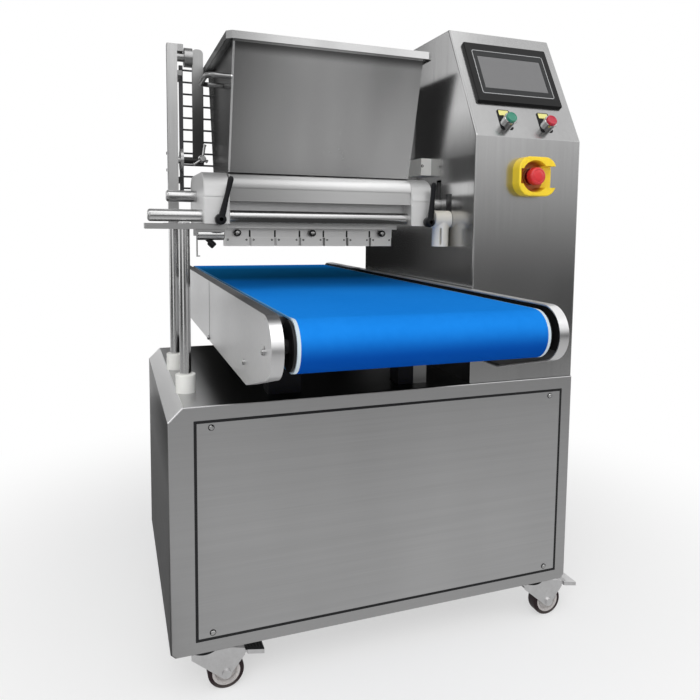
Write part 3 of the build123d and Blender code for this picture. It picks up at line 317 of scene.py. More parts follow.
def hopperMarks(coords, base):  # streaked sheet; painted shade towards the left, on the left wall and on the rim's left side; painted highlight along the left front corner; painted shadow under the rim
    d = hopperLook
    x, y, z = splitNode(coords)
    bands = noiseNode(vectorNode("MULTIPLY", coords, d["streak"]), 1.0, detail=1.0, rough=0.4)
    base = mixColour(rangeNode(bands, *d["streakRange"]), base, scaled(d["steel"], d["streakTone"]))
    # painted shade, darker towards the left end
    base = paintedShadeTowards(coords, base, d["steel"], "X", *d["dull"])
    sheet = under(z, d["rimFoot"])
    # painted shadow in a band just under the rim
    shaded = times(ramp(z, *d["rimShadow"], d["rimShadowDepth"]), sheet)
    base = mixColour(shaded, base, scaled(d["steel"], d["rimShadowTone"]))
    # painted shade on the left wall, darkest towards the rim
    wall = times(between(x, *d["wall"]), sheet)
    rise = ramp(z, *d["wallShadeBand"])
    base = mixColour(wall, base, mixColour(rise, *(scaled(d["steel"], k) for k in d["wallShadeTones"])))
    # painted highlight along the left front corner of the sheet
    out = mathNode("MULTIPLY_ADD", minus(z, d["foot"][1]), -d["lean"], d["foot"][0])
    corner = under(minus(y, out), d["edgeHighlight"])
    edgeHighlight = times(corner, sheet, between(x, d["wall"][0], d["wall"][1] + d["edgeHighlight"]))
    base = mixColour(edgeHighlight, base, scaled(d["steel"], d["edgeHighlightTone"]))
    # painted shade on the rim's left side
    side = times(under(x, d["rimShadeSide"][0]), over(y, d["rimShadeSide"][1]))
    return mixColour(minus(side, sheet, clamp=True), base, scaled(d["steel"], d["rimShadeTone"]))


shellLook = {"steel": grey(0.50, 0.503), "shoulderHighlight": grey(0.98), "conveyorShadow": grey(0.05),
             "shoulder": (-0.415, 0.507, 0.001), "side": (-0.4146, 0.38, 0.48, 0.9), "sideShadeTone": 0.25,
             "top": 0.5312, "conveyorShadowFrom": (-0.362, -0.318)}


def shellMarks(coords, base):  # painted highlight on the shoulder, painted shade on the upper left side, painted shadow on the top under the conveyor
    d = shellLook
    x, _, z = splitNode(coords)
    foldX, foldZ, slack = d["shoulder"]
    # painted highlight along the slanted shoulder
    slant = under(apart(minus(z, x), foldZ - foldX), slack)
    base = mixColour(times(slant, over(z, foldZ)), base, d["shoulderHighlight"])
    # painted shade on the upper part of the left side
    edge, low, high, share = d["side"]
    side = times(rangeNode(z, 0.0, share, low, high), under(x, edge))
    base = mixColour(side, base, scaled(d["steel"], d["sideShadeTone"]))
    # painted shadow on the top under the conveyor
    return mixColour(times(ramp(x, *d["conveyorShadowFrom"]), over(z, d["top"])), base, d["conveyorShadow"])


coverLook = {"top": grey(0.16, 0.165), "rise": (0.7085, 0.7165), "sides": (-0.3079, 0.0)}


def coverMarks(coords, base):  # painted shade on the flat top, darkening upwards
    d = coverLook
    x, _, z = splitNode(coords)
    return mixColour(times(ramp(z, *d["rise"]), between(x, *d["sides"])), base, d["top"])


frameLook = {"steel": grey(0.30), "height": 0.650, "side": 0.05}


def frameMarks(coords, base):  # the right legs are bare steel
    d = frameLook
    x, _, z = splitNode(coords)
    bare = times(under(z, d["height"]), over(x, d["side"]))
    feed(bare, base.id_data.nodes["Principled BSDF"].inputs["Metallic"])
    return mixColour(bare, base, d["steel"])


shroudLook = {"wellShade": shade(176, 92, 12), "axis": (0.275, 0.0, 0.937), "radius": 0.0313,
              "lip": -0.3255, "deep": 0.012}


def shroudMarks(coords, base):  # painted shade in the well round the mushroom, deeper than the lip
    d = shroudLook
    flat = vectorNode("MULTIPLY", vectorNode("SUBTRACT", coords, d["axis"]), (1.0, 0.0, 1.0))
    inside = under(vectorNode("LENGTH", flat), d["radius"])
    sunk = rangeNode(splitNode(coords)["Y"], 0.0, 1.0, d["lip"], d["lip"] + d["deep"])
    return mixColour(times(inside, sunk), base, d["wellShade"])


bezelLook = {"border": grey(0.004, 0.0042), "lean": 29.0, "centre": (0.275, -0.2298, 1.1441),
             "half": (0.0845, 0.0545), "from": (-0.001, 0.003)}


def bezelMarks(coords, base):  # black rounded border on the charcoal face
    d = bezelLook
    away = vectorNode("SUBTRACT", coords, d["centre"])
    turn = math.radians(d["lean"])
    axes = ((1.0, 0.0, 0.0), (0.0, math.sin(turn), math.cos(turn)))
    past = [minus(mathNode("ABSOLUTE", vectorNode("DOT_PRODUCT", away, axis)), half)
            for axis, half in zip(axes, d["half"])]
    rim = ramp(mathNode("MAXIMUM", *past), *d["from"])
    return mixColour(rim, base, d["border"])


metalLooks = {  # colour, roughness, grain, further settings
    "cabinetSteel": (grey(0.50, 0.503), 0.34, levelGrain, {"dust": 0.2}),
    "panelSteel": (grey(0.52, 0.523), 0.34, levelGrain, {"smudge": 2.4, "smudgeScale": 2.3, "depth": 0.22}),
    # pump cover: painted shade towards its left end
    "pumpSteel": (grey(0.66), 0.34, alongX, {
        "swing": 0.05, "depth": 0.08, "dull": ("X", -0.33, -0.02, 0.44)}),
    "brightSteel": (grey(0.48), 0.30, alongX, {}),
    "postChrome": (grey(0.70), 0.17, uprightGrain, {"swing": 0.04, "depth": 0.05, "bump": 0.004}),
    "rodChrome": (grey(0.54), 0.20, alongX, {"swing": 0.05, "depth": 0.06, "bump": 0.02}),
    "zincSteel": (grey(0.80, 0.81), 0.32, roundGrain, {"smudge": 1.8, "smudgeScale": 45.0, "dust": 0.4}),
    "castAluminium": (grey(0.58, 0.585), 0.42, roundGrain, {"bump": 0.08}),
    # end blocks: painted shade on the rounded top, against its highlight
    "blockAluminium": (grey(0.82), 0.56, levelGrain, {
        "swing": 0.06, "depth": 0.06, "dull": ("Z", 0.905, 0.887, 0.68)}),
    "nozzleAluminium": (grey(0.91), 0.40, alongX, {"depth": 0.08}),
    "collarChrome": (grey(0.55), 0.14, roundGrain, {"swing": 0.04, "depth": 0.08, "bump": 0.01}),
    "guardWire": (grey(0.10, 0.105), 0.35, alongX, {}),
    "hopperSteel": (hopperLook["steel"], 0.26, uprightGrain, {
        "swing": 0.04, "depth": 0.09, "bump": 0.012, "marks": hopperMarks}),
    "shellSteel": (shellLook["steel"], 0.34, levelGrain, {"dust": 0.2, "marks": shellMarks}),
    "coverSteel": (grey(0.78, 0.785), 0.30, alongX, {"depth": 0.12, "marks": coverMarks}),
}
mouldLooks = {  # colour, roughness, size of the skin, depth of colour, bump, further settings
    "blackPaint": (grey(0.012, 0.013), 0.45, 900.0, 0.12, 0.08, {"gloss": 0.25}),
    "blackKnob": (grey(0.010, 0.011), 0.34, 1500.0, 0.2, 0.12, {"gloss": 0.12}),
    "screenGlass": (shade(112, 112, 113), 0.18, 60.0, 0.05, 0.0, {"coat": 0.2, "gloss": 0.3}),
    "greenPlastic": (shade(40, 128, 104), 0.24, 1200.0, 0.10, 0.03, {"coat": 0.3}),
    "redPlastic": (shade(182, 18, 50), 0.24, 1200.0, 0.10, 0.03, {"coat": 0.3}),
    "mushroomRed": (shade(206, 40, 46), 0.30, 1200.0, 0.10, 0.05, {"coat": 0.2}),
    "whiteNylon": (shade(226, 226, 222), 0.42, 1000.0, 0.05, 0.06, {}),
    "bossNylon": (shade(222, 218, 208), 0.46, 1000.0, 0.05, 0.06, {"gloss": 0.25}),
    "greyWheel": (shade(188, 184, 183), 0.40, 900.0, 0.07, 0.06, {"dust": 0.4}),
    "maroonTyre": (shade(34, 18, 23), 0.55, 700.0, 0.2, 0.25, {"dust": 0.35, "reach": 0.02, "gloss": 0.3}),
    "legendPale": (shade(226, 220, 138), 0.4, 800.0, 0.06, 0.02, {}),
    "printLine": (shade(176, 177, 178), 0.4, 700.0, 0.06, 0.0, {}),
    "conveyorFramePaint": (grey(0.012, 0.013), 0.45, 900.0, 0.15, 0.08, {
        "lift": 0.2, "gloss": 0.04, "swing": 0.05, "marks": frameMarks}),
    "shroudYellow": (shade(240, 206, 34), 0.38, 1100.0, 0.08, 0.06, {"lift": 0.06, "marks": shroudMarks}),
    "bezelPlastic": (shade(40, 41, 42), 0.36, 1400.0, 0.10, 0.10, {"gloss": 0.22, "marks": bezelMarks}),
}
finishes = {name: metalFinish(name, *look, **more) for name, (*look, more) in metalLooks.items()}
finishes.update({name: mouldFinish(name, *look, **more) for name, (*look, more) in mouldLooks.items()})

beltLook = {"deep": shade(14, 112, 204), "clear": shade(34, 138, 230), "skin": 1600.0, "smudgeScale": 5.0,
            "rough": 0.42, "swing": 0.06, "gloss": 0.0, "bump": 0.06, "bumpDeep": 0.0002,
            "edge": shade(196, 208, 216), "edgeWidth": 0.0048, "noseFrom": (0.548, 0.576),
            "seam": shade(96, 150, 196), "seamWidth": 0.0022,
            "headShadow": shade(10, 70, 88), "headShadowFrom": (0.0, 0.13), "headShadowTo": (0.36, 0.56), "headShadowDepth": 0.72,
            "low": shade(3, 48, 140), "noseShadeFrom": (0.699, 0.656), "noseShadeDepth": 0.8}


def beltFinish():
    d = beltLook
    mat, shader, coords = newMaterial("blueBelt")
    lo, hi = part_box("conveyor_belt")
    x, y, z = splitNode(coords)
    skin = useGroup("skin", coords, Scale=d["skin"])
    cloud = useGroup("smudge", coords, Scale=d["smudgeScale"], Amount=1.0)
    tone = averaged(skin["Tone"], cloud["Tone"])
    blue = mixColour(tone, d["deep"], d["clear"])
    reach = ramp(y, *d["headShadowFrom"], d["headShadowDepth"])
    fade = rangeNode(y, 1.0, 0.0, *d["headShadowTo"], soft=True)
    blue = mixColour(times(reach, fade), blue, d["headShadow"])  # painted shadow of the head on the belt behind the nozzles, fading towards the far end
    # painted shade on the lower part of the nose
    blue = mixColour(ramp(z, *d["noseShadeFrom"], d["noseShadeDepth"]), blue, d["low"])
    nose = ramp(mathNode("ABSOLUTE", y), *d["noseFrom"])
    width = mathNode("MULTIPLY_ADD", nose, d["edgeWidth"] - d["seamWidth"], d["seamWidth"])
    inside = minus((hi.x - lo.x) / 2, width)
    edge = over(apart(x, (lo.x + hi.x) / 2), inside)  # pale sealed edge, wider round the nose
    base = mixColour(edge, blue, mixColour(nose, d["seam"], d["edge"]))
    shader.inputs["Specular IOR Level"].default_value = d["gloss"]
    finishOff(shader, base, tone, d["rough"], d["swing"], skin["Height"], d["bump"], d["bumpDeep"])
    return mat


finishes["blueBelt"] = beltFinish()

columnLook = {"steel": grey(0.46), "sideRough": 0.20, "frontRough": 0.23, "swing": 0.06, "depth": 0.21,
              "bump": 0.05, "smudge": (4.5, 2.2), "sideEnd": 0.157,
              "foldShade": (0.1552, 0.1588), "foldFoot": 1.016, "foldShadeTone": 0.7}


def columnFinish():  # the side polished brighter than the front; painted shade along the fold beside the slope
    d = columnLook
    mat, shader, coords = newMaterial("columnSteel")
    shader.inputs["Metallic"].default_value = 1.0
    x, _, z = splitNode(coords)
    tone, hair = brushedTone(coords, uprightGrain, *d["smudge"])
    foldShade = times(between(x, *d["foldShade"]), over(z, d["foldFoot"]))
    base = mixColour(foldShade, varied(tone, d["steel"], d["depth"]), scaled(d["steel"], d["foldShadeTone"]))
    front = over(x, d["sideEnd"])
    polish = mathNode("MULTIPLY_ADD", front, d["frontRough"] - d["sideRough"], d["sideRough"])
    finishOff(shader, base, tone, polish, d["swing"], hair, d["bump"])
    return mat


finishes["columnSteel"] = columnFinish()

stayLook = {"upright": grey(0.50), "depth": 0.12, "stay": grey(0.05), "stayTop": grey(0.42),
            "fall": (1.00, 1.165), "from": -0.3632, "disc": (0.967, 0.0245, -0.3535),
            "rough": 0.30, "swing": 0.08, "bump": 0.05, "hairShare": 0.3}


def stayFinish():  # pale upright, darker stay and ties
    d = stayLook
    mat, shader, coords = newMaterial("staySteel")
    shader.inputs["Metallic"].default_value = 1.0
    x, _, z = splitNode(coords)
    grain = useGroup("grain", coords, Stretch=uprightGrain, Contrast=metalSkin["contrast"])
    level, half, end = d["disc"]
    disc = times(under(apart(z, level), half), under(x, end))
    inner = minus(over(x, d["from"]), disc, clamp=True)
    fall = rangeNode(z, 0.0, 1.0, *d["fall"])
    dark = mixColour(times(fall, fall), d["stay"], d["stayTop"])
    dark = mixColour(times(grain["Tone"], d["hairShare"]), dark, d["stay"])
    base = mixColour(inner, varied(grain["Tone"], d["upright"], d["depth"]), dark)
    finishOff(shader, base, grain["Tone"], d["rough"], d["swing"], grain["Height"], d["bump"])
    return mat


finishes["staySteel"] = stayFinish()
print("finishes built:", len(finishes))

casterCorners = ("front_left", "front_right", "rear_left", "rear_right")
nodeFinish = {
    "cabinetSteel": ["rear_panel"],
    "shellSteel": ["cabinet_shell"],
    "panelSteel": ["front_panel"],
    "columnSteel": ["column_shell", "column_back_cover"],
    "hopperSteel": ["hopper"],
    "coverSteel": ["left_conveyor_cover", "right_conveyor_cover"],
    "pumpSteel": ["pump_cover"],
    "brightSteel": ["cover_screws", "conveyor_bed", "support_bars"],
    "staySteel": ["guard_frame"],
    "postChrome": ["lift_posts"],
    "rodChrome": ["head_rods"],
    "zincSteel": ["caster_plates", "control_plate", "front_left_pedal", "front_right_pedal"]
    + [c + "_fork" for c in casterCorners],
    "castAluminium": ["lift_actuator", "lift_crosshead", "pump_body", "column_carriage", "feed_motor"],
    "nozzleAluminium": ["nozzle_manifold", "nozzle_blocks"],
    "blockAluminium": ["end_blocks", "front_feed_roller", "rear_feed_roller"],
    "collarChrome": ["button_collars"],
    "guardWire": ["rear_guard"],
    "blackPaint": ["drive_roller", "nose_roller"],
    "conveyorFramePaint": ["conveyor_frame"],
    "blackKnob": ["thumb_screws", "left_clamp_lever", "right_clamp_lever", "estop_stem"],
    "bezelPlastic": ["hmi_bezel"],
    "screenGlass": ["hmi_screen"],
    "shroudYellow": ["estop_guard"],
    "greenPlastic": ["start_button_cap"],
    "redPlastic": ["stop_button_cap"],
    "mushroomRed": ["estop_mushroom"],
    "whiteNylon": ["post_bushes", "hopper_sensor_block"],
    "bossNylon": ["rod_boss"],
    "blueBelt": ["conveyor_belt"],
    "greyWheel": [c + "_hub" for c in casterCorners],
    "maroonTyre": [c + "_tyre" for c in casterCorners],
}
for finish, members in nodeFinish.items():
    for node in members:
        mesh = nodes[node].data
        mesh.materials.clear()
        mesh.materials.append(finishes[finish])
print("CAD nodes finished:", sum(len(m) for m in nodeFinish.values()))

# helpers for new pieces


def smoothed(mesh, angle):
    mesh.shade_smooth()
    mesh.set_sharp_from_angle(angle=math.radians(angle))
    return mesh


def meshOf(bm, name, angle):
    bmesh.ops.recalc_face_normals(bm, faces=bm.faces)
    mesh = bpy.data.meshes.new(name)
    bm.to_mesh(mesh)
    bm.free()
    return smoothed(mesh, angle)


def addPiece(name, shape, body, finish, angle=35.0):  # shape is a bmesh, or a mesh that is ready
    mesh = meshOf(shape, name, angle) if isinstance(shape, bmesh.types.BMesh) else shape
    piece = newObject(name, mesh)
    if not mesh.materials:
        mesh.materials.append(finishes[finish])
    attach(piece, body)
    return piece


def loft(bm, rings, closed=False):  # rings of equal length, capped at both ends or joined last to first
    made = [[bm.verts.new(p) for p in ring] for ring in rings]
    count = len(made[0])
    for a, b in zip(made, made[1:] + made[:1] if closed else made[1:]):
        for i in range(count):
            j = (i + 1) % count
            bm.faces.new((a[i], a[j], b[j], b[i]))
    if not closed:
        bm.faces.new(made[0][::-1])
        bm.faces.new(made[-1])


def stack(bm, place, layers, closed=False):  # (outline, height) pairs along place's own Z
    loft(bm, [[place @ Vector((x, y, h)) for x, y in outline] for outline, h in layers], closed)


def circle(radius, count):
    turns = (2 * math.pi * i / count for i in range(count))
    return [(radius * math.cos(a), radius * math.sin(a)) for a in turns]


def lathe(bm, profile, place, count=32, closed=False):  # (radius, height) pairs about place's own Z
    stack(bm, place, [(circle(radius, count), height) for radius, height in profile], closed)


def roundedOutline(width, height, radius, steps=6):
    points = []
    for cx, cy, start in ((1, 1, 0), (-1, 1, 90), (-1, -1, 180), (1, -1, 270)):
        for i in range(steps + 1):
            a = math.radians(start + 90 * i / steps)
            points.append((cx * (width / 2 - radius) + radius * math.cos(a),
                           cy * (height / 2 - radius) + radius * math.sin(a)))
    return points


def facing(origin, out, up=(0, 0, 1)):  # frame with Z out of a face and Y along up
    z = Vector(out).normalized()
    x = Vector(up).cross(z).normalized()
    turn = Matrix((x, z.cross(x), z)).transposed().to_4x4()
    return Matrix.Translation(Vector(origin)) @ turn


# geometry nodes: screws with a hexagon socket, one at each point

screwHead = {"body": 0.62, "crown": 0.72, "overlap": 0.98, "sides": 24}  # shares of the height and radius


def socketScrewTree():
    d = screwHead
    tree, enter, leave = newGroup(
        "GeometryNodeTree", "socketScrews",
        [("Geometry", "Geometry"), ("Head Radius", "Float", 0.004), ("Head Height", "Float", 0.003),
         ("Socket Radius", "Float", 0.002), ("Finish", "Material")], [("Geometry", "Geometry")])
    radius, height = enter["Head Radius"], enter["Head Height"]
    body = times(height, d["body"])

    def solid(kind, rise, sides, sizes):
        mesh = addNode("GeometryNodeMesh" + kind, {"Vertices": sides, **sizes}, fill_type="NGON").outputs[0]
        shift = addNode("ShaderNodeCombineXYZ", {"Z": rise}).outputs[0]
        return addNode("GeometryNodeTransform", {"Geometry": mesh, "Translation": shift}).outputs[0]

    barrel = solid("Cylinder", times(body, 0.5), d["sides"], {"Radius": radius, "Depth": body})
    crown = solid("Cone", times(body, d["overlap"]), d["sides"], {
        "Radius Bottom": radius, "Radius Top": times(radius, d["crown"]), "Depth": minus(height, body)})
    hexagon = solid("Cylinder", height, 6, {"Radius": enter["Socket Radius"], "Depth": height})
    head = addNode("GeometryNodeMeshBoolean", {"Mesh 2": barrel}, operation="UNION")
    feed(crown, head.inputs["Mesh 2"])
    cut = addNode("GeometryNodeMeshBoolean", {"Mesh 1": head.outputs["Mesh"], "Mesh 2": hexagon},
                  operation="DIFFERENCE")
    aim = tree.nodes.new("GeometryNodeInputNamedAttribute")
    aim.data_type = "FLOAT_VECTOR"
    aim.inputs["Name"].default_value = "aim"
    turn = addNode("FunctionNodeAlignRotationToVector", {"Vector": aim.outputs["Attribute"]}, axis="Z")
    spread = addNode("GeometryNodeInstanceOnPoints", {
        "Points": enter["Geometry"], "Instance": cut.outputs["Mesh"], "Rotation": turn.outputs[0]})
    real = addNode("GeometryNodeRealizeInstances", {0: spread.outputs[0]})
    paint = addNode("GeometryNodeSetMaterial", {"Geometry": real.outputs[0], "Material": enter["Finish"]})
    feed(paint.outputs[0], leave[0])
    return tree


def grown(name, tree, places, values, angle=35.0):  # runs a tree on points and keeps the plain mesh
    seed = bpy.data.meshes.new(name + "Points")
    seed.from_pydata([p for p, _ in places], [], [])
    aim = seed.attributes.new("aim", "FLOAT_VECTOR", "POINT")
    for i, (_, out) in enumerate(places):
        aim.data[i].vector = out
    holder = newObject(name + "Points", seed)
    modifier = holder.modifiers.new("grow", "NODES")
    modifier.node_group = tree
    for item in tree.interface.items_tree:
        if item.item_type == "SOCKET" and item.in_out == "INPUT" and item.name in values:
            modifier[item.identifier] = values[item.name]
    ready = holder.evaluated_get(bpy.context.evaluated_depsgraph_get())
    mesh = bpy.data.meshes.new_from_object(ready)
    mesh.name = name
    holder.modifiers.remove(modifier)
    bpy.data.objects.remove(holder)
    return smoothed(mesh, angle)


screwTree = socketScrewTree()


def addScrews(name, d, places, body, finish):
    values = {"Head Radius": d["headRadius"], "Head Height": d["headHeight"],
              "Socket Radius": d["socketRadius"], "Finish": finishes[finish]}
    return addPiece(name, grown(name, screwTree, places, values), body, finish)


panelScrews = {"headRadius": 0.0043, "headHeight": 0.0024, "socketRadius": 0.0019,
               "frontX": (-0.3435, 0.3415), "frontZ": (0.1275, 0.4935), "frontY": -0.306,
               "rearX": (-0.3565, 0.3365), "rearZ": (0.1345, 0.4895), "rearY": 0.264}
panelScrewShadows = {"headRadius": 0.0055, "headHeight": 0.0008, "socketRadius": 0.0030}
coverBolts = {"headRadius": 0.0046, "headHeight": 0.0042, "socketRadius": 0.0022, "face": -0.308,
              "places": ((-0.5645, 0.669), (-0.424, 0.628), (-0.021, 0.600), (0.424, 0.628), (0.5645, 0.669))}
nozzleScrews = {"headRadius": 0.0019, "headHeight": 0.0008, "socketRadius": 0.0009, "firstX": -0.268,
                "pitch": 0.05, "count": 7, "aside": 0.018, "z": 0.8075, "face": -0.133}


def makeScrews():
    d = panelScrews
    places = [((x, d["frontY"], z), (0, -1, 0)) for x in d["frontX"] for z in d["frontZ"]]
    places += [((x, d["rearY"], z), (0, 1, 0)) for x in d["rearX"] for z in d["rearZ"]]
    screws = addScrews("panelScrews", d, places, "base", "collarChrome")
    # dark rings under the panel screw heads: painted shadow round each head
    addScrews("panelScrewShadows", panelScrewShadows, places, "base", "blackKnob")
    b = coverBolts
    places = [((b["face"], y, z), (-1, 0, 0)) for y, z in b["places"]]
    addScrews("coverBolts", b, places, "base", "rodChrome")
    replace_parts(screws, "cover_screws")
    n = nozzleScrews
    places = [((n["firstX"] + i * n["pitch"] + side * n["aside"], n["face"], n["z"]), (0, -1, 0))
              for i in range(n["count"]) for side in (-1, 1)]
    addScrews("nozzleScrews", n, places, "head", "blackPaint")


makeScrews()
print("screws grown")

# clamp levers

clampLever = {"hubRadius": 0.010, "hubBack": -0.2233, "hubFront": -0.2413, "length": 0.078, "z": 0.846,
              "hub": ((0.92, 0.0), (1.0, 1 / 18), (1.0, 0.55), (0.97, 0.75), (0.82, 0.92), (0.55, 1.0)),
              "plug": (0.0035, 0.002, 0.0001), "stud": (0.0049, 0.0122), "rise": 0.0012,
              "rootWidth": 0.0125, "waistWidth": 0.0085, "tipWidth": 0.0102, "thick": 0.0105,
              "waistAt": 0.55, "thinning": 0.22, "roundFrom": 0.93, "tip": (0.03, 0.75),
              "squareness": 0.62, "steps": 22, "sides": 20}
leverPlaces = {"left_clamp_lever": (-0.314, 14.0), "right_clamp_lever": (0.095, 5.0)}


def makeLever(body, x, lean):
    d = clampLever
    bm = bmesh.new()
    hub = facing((x, d["hubBack"], d["z"]), (0, -1, 0))
    deep = d["hubBack"] - d["hubFront"]
    lathe(bm, [(d["hubRadius"] * wide, deep * high) for wide, high in d["hub"]], hub)
    outer, inner, sink = d["plug"]
    lathe(bm, [(outer, deep - sink), (outer, deep), (inner, deep)], hub, count=16)
    radius, reach = d["stud"]
    lathe(bm, [(radius, -reach), (radius, 0.0)], hub, count=20)
    a = math.radians(lean)
    along = Vector((math.sin(a), 0, math.cos(a)))
    across = Vector((math.cos(a), 0, -math.sin(a)))
    rings = []
    for i in range(d["steps"] + 1):
        t = i / d["steps"]
        width = d["rootWidth"] + (d["waistWidth"] - d["rootWidth"]) * min(1, t / d["waistAt"])
        if t > d["waistAt"]:
            s = (t - d["waistAt"]) / (1 - d["waistAt"])
            width += (d["tipWidth"] - d["waistWidth"]) * s * s * (3 - 2 * s)
        end = max(0.0, (t - d["roundFrom"]) / (1 - d["roundFrom"]))
        least, fall = d["tip"]
        shrink = math.sqrt(max(least, 1 - fall * end * end))  # rounds the tip off
        halves = (width / 2 * shrink, d["thick"] * (1.0 - d["thinning"] * t) / 2 * shrink)
        root = Vector((x, d["hubFront"] + d["thick"] / 2 + d["rise"] * t, d["z"]))
        centre = root + along * (d["length"] * t)
        ring = []
        for point in circle(1.0, d["sides"]):
            px, py = (math.copysign(abs(v) ** d["squareness"], v) * half for v, half in zip(point, halves))
            ring.append(centre + across * px + Vector((0, py, 0)))
        rings.append(ring)
    loft(bm, rings)
    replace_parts(addPiece(body + "Grip", bm, body, "blackKnob", angle=40), body)


for body, (x, lean) in leverPlaces.items():
    makeLever(body, x, lean)

# knurled thumb screws on the nozzle bar, and the knob under the support bar

thumbScrew = {"radius": 0.0068, "back": -0.129, "z": 0.821, "xs": (-0.268, -0.118, 0.032), "ribs": 14,
              "groove": 0.0005, "stem": (0.003, 0.005),
              "core": ((0.0042, 0.006), (0.0042, 0.0114), (0.00294, 0.0118)),
              "knob": ((0.9, 0.004), (1.0, 0.0048), (1.0, 0.0108), (0.9, 0.0118),
                       (0.68, 0.0118), (0.62, 0.0106))}
barKnob = {"place": (-0.3385, -0.2060, 0.8130), "aim": (0.72, -0.10, -0.69), "radius": 0.0062, "ribs": 8,
           "groove": 0.0008, "stem": (0.003, 0.010),
           "knob": ((0.7, 0.010), (1.0, 0.012), (1.0, 0.021), (0.75, 0.023))}


def ribbed(radius, ribs, groove):
    points = zip(circle(radius, ribs * 4), circle(radius - groove, ribs * 4))
    return [inner if i % 4 in (2, 3) else outer for i, (outer, inner) in enumerate(points)]


def knurledKnob(bm, place, d):
    radius, length = d["stem"]
    lathe(bm, [(radius, 0.0), (radius, length)], place, count=16)
    stack(bm, place, [(ribbed(d["radius"] * k, d["ribs"], d["groove"]), h) for k, h in d["knob"]])


def makeThumbScrews():
    d, b = thumbScrew, barKnob
    places = [facing((x, d["back"], d["z"]), (0, -1, 0)) for x in d["xs"]]
    bm = bmesh.new()
    for place in places:
        knurledKnob(bm, place, d)
    knurledKnob(bm, facing(b["place"], b["aim"], (0, 1, 0)), b)
    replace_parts(addPiece("thumbScrews", bm, "head", "blackKnob"), "thumb_screws")
    bm = bmesh.new()
    for place in places:
        lathe(bm, d["core"], place, count=20)
    addPiece("thumbScrewCores", bm, "head", "rodChrome")


makeThumbScrews()
print("levers and thumb screws made")

# slope of the control panel: X right, Y up the slope, Z out of the sheet

slope = {"lean": 29.0, "origin": (0.275, -0.303, 1.012)}
slopeSin, slopeCos = math.sin(math.radians(slope["lean"])), math.cos(math.radians(slope["lean"]))
slopeFrame = facing(slope["origin"], (0, -slopeCos, slopeSin), (0, slopeSin, slopeCos))
legendPlate = {"width": 0.028, "height": 0.046, "thick": 0.0016, "corner": 0.004, "middle": 0.0405,
               "aside": 0.046, "edge": 0.0004, "easeOver": (0.03, 0.04)}
legendLabel = {"width": 0.022, "height": 0.0115, "corner": 0.001, "middle": 0.0555, "sink": 0.0002,
               "proud": 0.0003, "edge": 0.0001}
touchLine = {"width": 0.168, "height": 0.108, "line": 0.0013, "middle": 0.151, "face": 0.0070,
             "corner": 0.005, "sink": 0.0002, "proud": 0.00025}


def onSlope(x, y):
    return slopeFrame @ Matrix.Translation((x, y, 0))


def slab(bm, place, d, low, high):  # flat plate, its upper edge drawn in a little
    outline = roundedOutline(d["width"], d["height"], d["corner"])
    narrow, short = (1 - 2 * d["edge"] / size for size in legendPlate["easeOver"])
    inner = [(x * narrow, y * short) for x, y in outline]
    stack(bm, place, ((outline, low), (outline, high - d["edge"]), (inner, high)))


def makeLegends():
    d, n = legendPlate, legendLabel
    black, shoulderHighlight = bmesh.new(), bmesh.new()
    for x in (-d["aside"], d["aside"]):
        slab(black, onSlope(x, d["middle"]), d, 0.0, d["thick"])
        slab(shoulderHighlight, onSlope(x, n["middle"]), n, d["thick"] - n["sink"], d["thick"] + n["proud"])
    addPiece("legendPlates", black, "base", "blackKnob")
    addPiece("legendLabels", shoulderHighlight, "base", "legendPale")


def makeTouchLine():
    d = touchLine
    bm = bmesh.new()
    outer, inner = (roundedOutline(d["width"] - 2 * cut, d["height"] - 2 * cut, d["corner"] - cut)
                    for cut in (0, d["line"]))
    low, high = d["face"] - d["sink"], d["face"] + d["proud"]
    layers = ((outer, low), (outer, high), (inner, high), (inner, low))
    stack(bm, onSlope(0, d["middle"]), layers, closed=True)
    addPiece("touchPanelLine", bm, "base", "printLine")


makeLegends()
makeTouchLine()
print("control panel dressed")

# caps of the push buttons and the emergency stop

buttonCap = {"aside": 0.046, "up": 0.030, "sides": 40, "profile": (
    (0.0102, 0.006), (0.0110, 0.0072), (0.0110, 0.0230), (0.0108, 0.0241), (0.0103, 0.0248), (0.0096, 0.0250),
    (0.0090, 0.0247), (0.0086, 0.0240), (0.0080, 0.0238), (0.0040, 0.0237), (0.0008, 0.0237))}
mushroom = {"axis": (0.275, -0.319, 0.937), "sides": 48, "profile": (
    (0.0068, 0.0112), (0.0068, 0.0), (0.0152, 0.0), (0.0168, 0.0016), (0.0172, 0.0040),
    (0.0172, 0.0120), (0.0168, 0.0148), (0.0157, 0.0168), (0.0142, 0.0178), (0.0126, 0.0180),
    (0.0121, 0.0175), (0.0113, 0.0175), (0.0108, 0.0179), (0.0050, 0.0180), (0.0008, 0.0180))}


def makeCap(name, body, d, place, finish):
    bm = bmesh.new()
    lathe(bm, d["profile"], place, d["sides"])
    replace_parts(addPiece(name, bm, body, finish, angle=50), body)


def makeCaps():
    d = buttonCap
    for body, x, finish, slot in (("start_button_cap", -d["aside"], "greenPlastic", "green_plastic"),
                                  ("stop_button_cap", d["aside"], "redPlastic", "red_plastic")):
        makeCap(body + "Face", body, d, onSlope(x, d["up"]), finish)
    place = facing(mushroom["axis"], (0, -1, 0))
    makeCap("estopFace", "estop_mushroom", mushroom, place, "mushroomRed")


makeCaps()

# black seal over the gap round each cabinet panel, and the seam in the left cover

panelSeal = {"gap": 0.0035, "lip": 0.0008, "rise": 0.0024, "bead": 0.0012, "brow": 0.0003, "foot": 0.0005,
             "corner": 0.0008, "front": (-0.001, 0.3105, 0.735, 0.384, -0.304, -1),
             "rear": (-0.010, 0.312, 0.743, 0.373, 0.262, 1)}
coverSeam = {"x": -0.308, "y": -0.0282, "width": 0.0012, "corner": 0.0004, "low": 0.5985, "high": 0.7185,
             "layers": ((1.0, -0.0004), (1.0, 0.0), (0.6, 0.0003))}  # share of the width, height


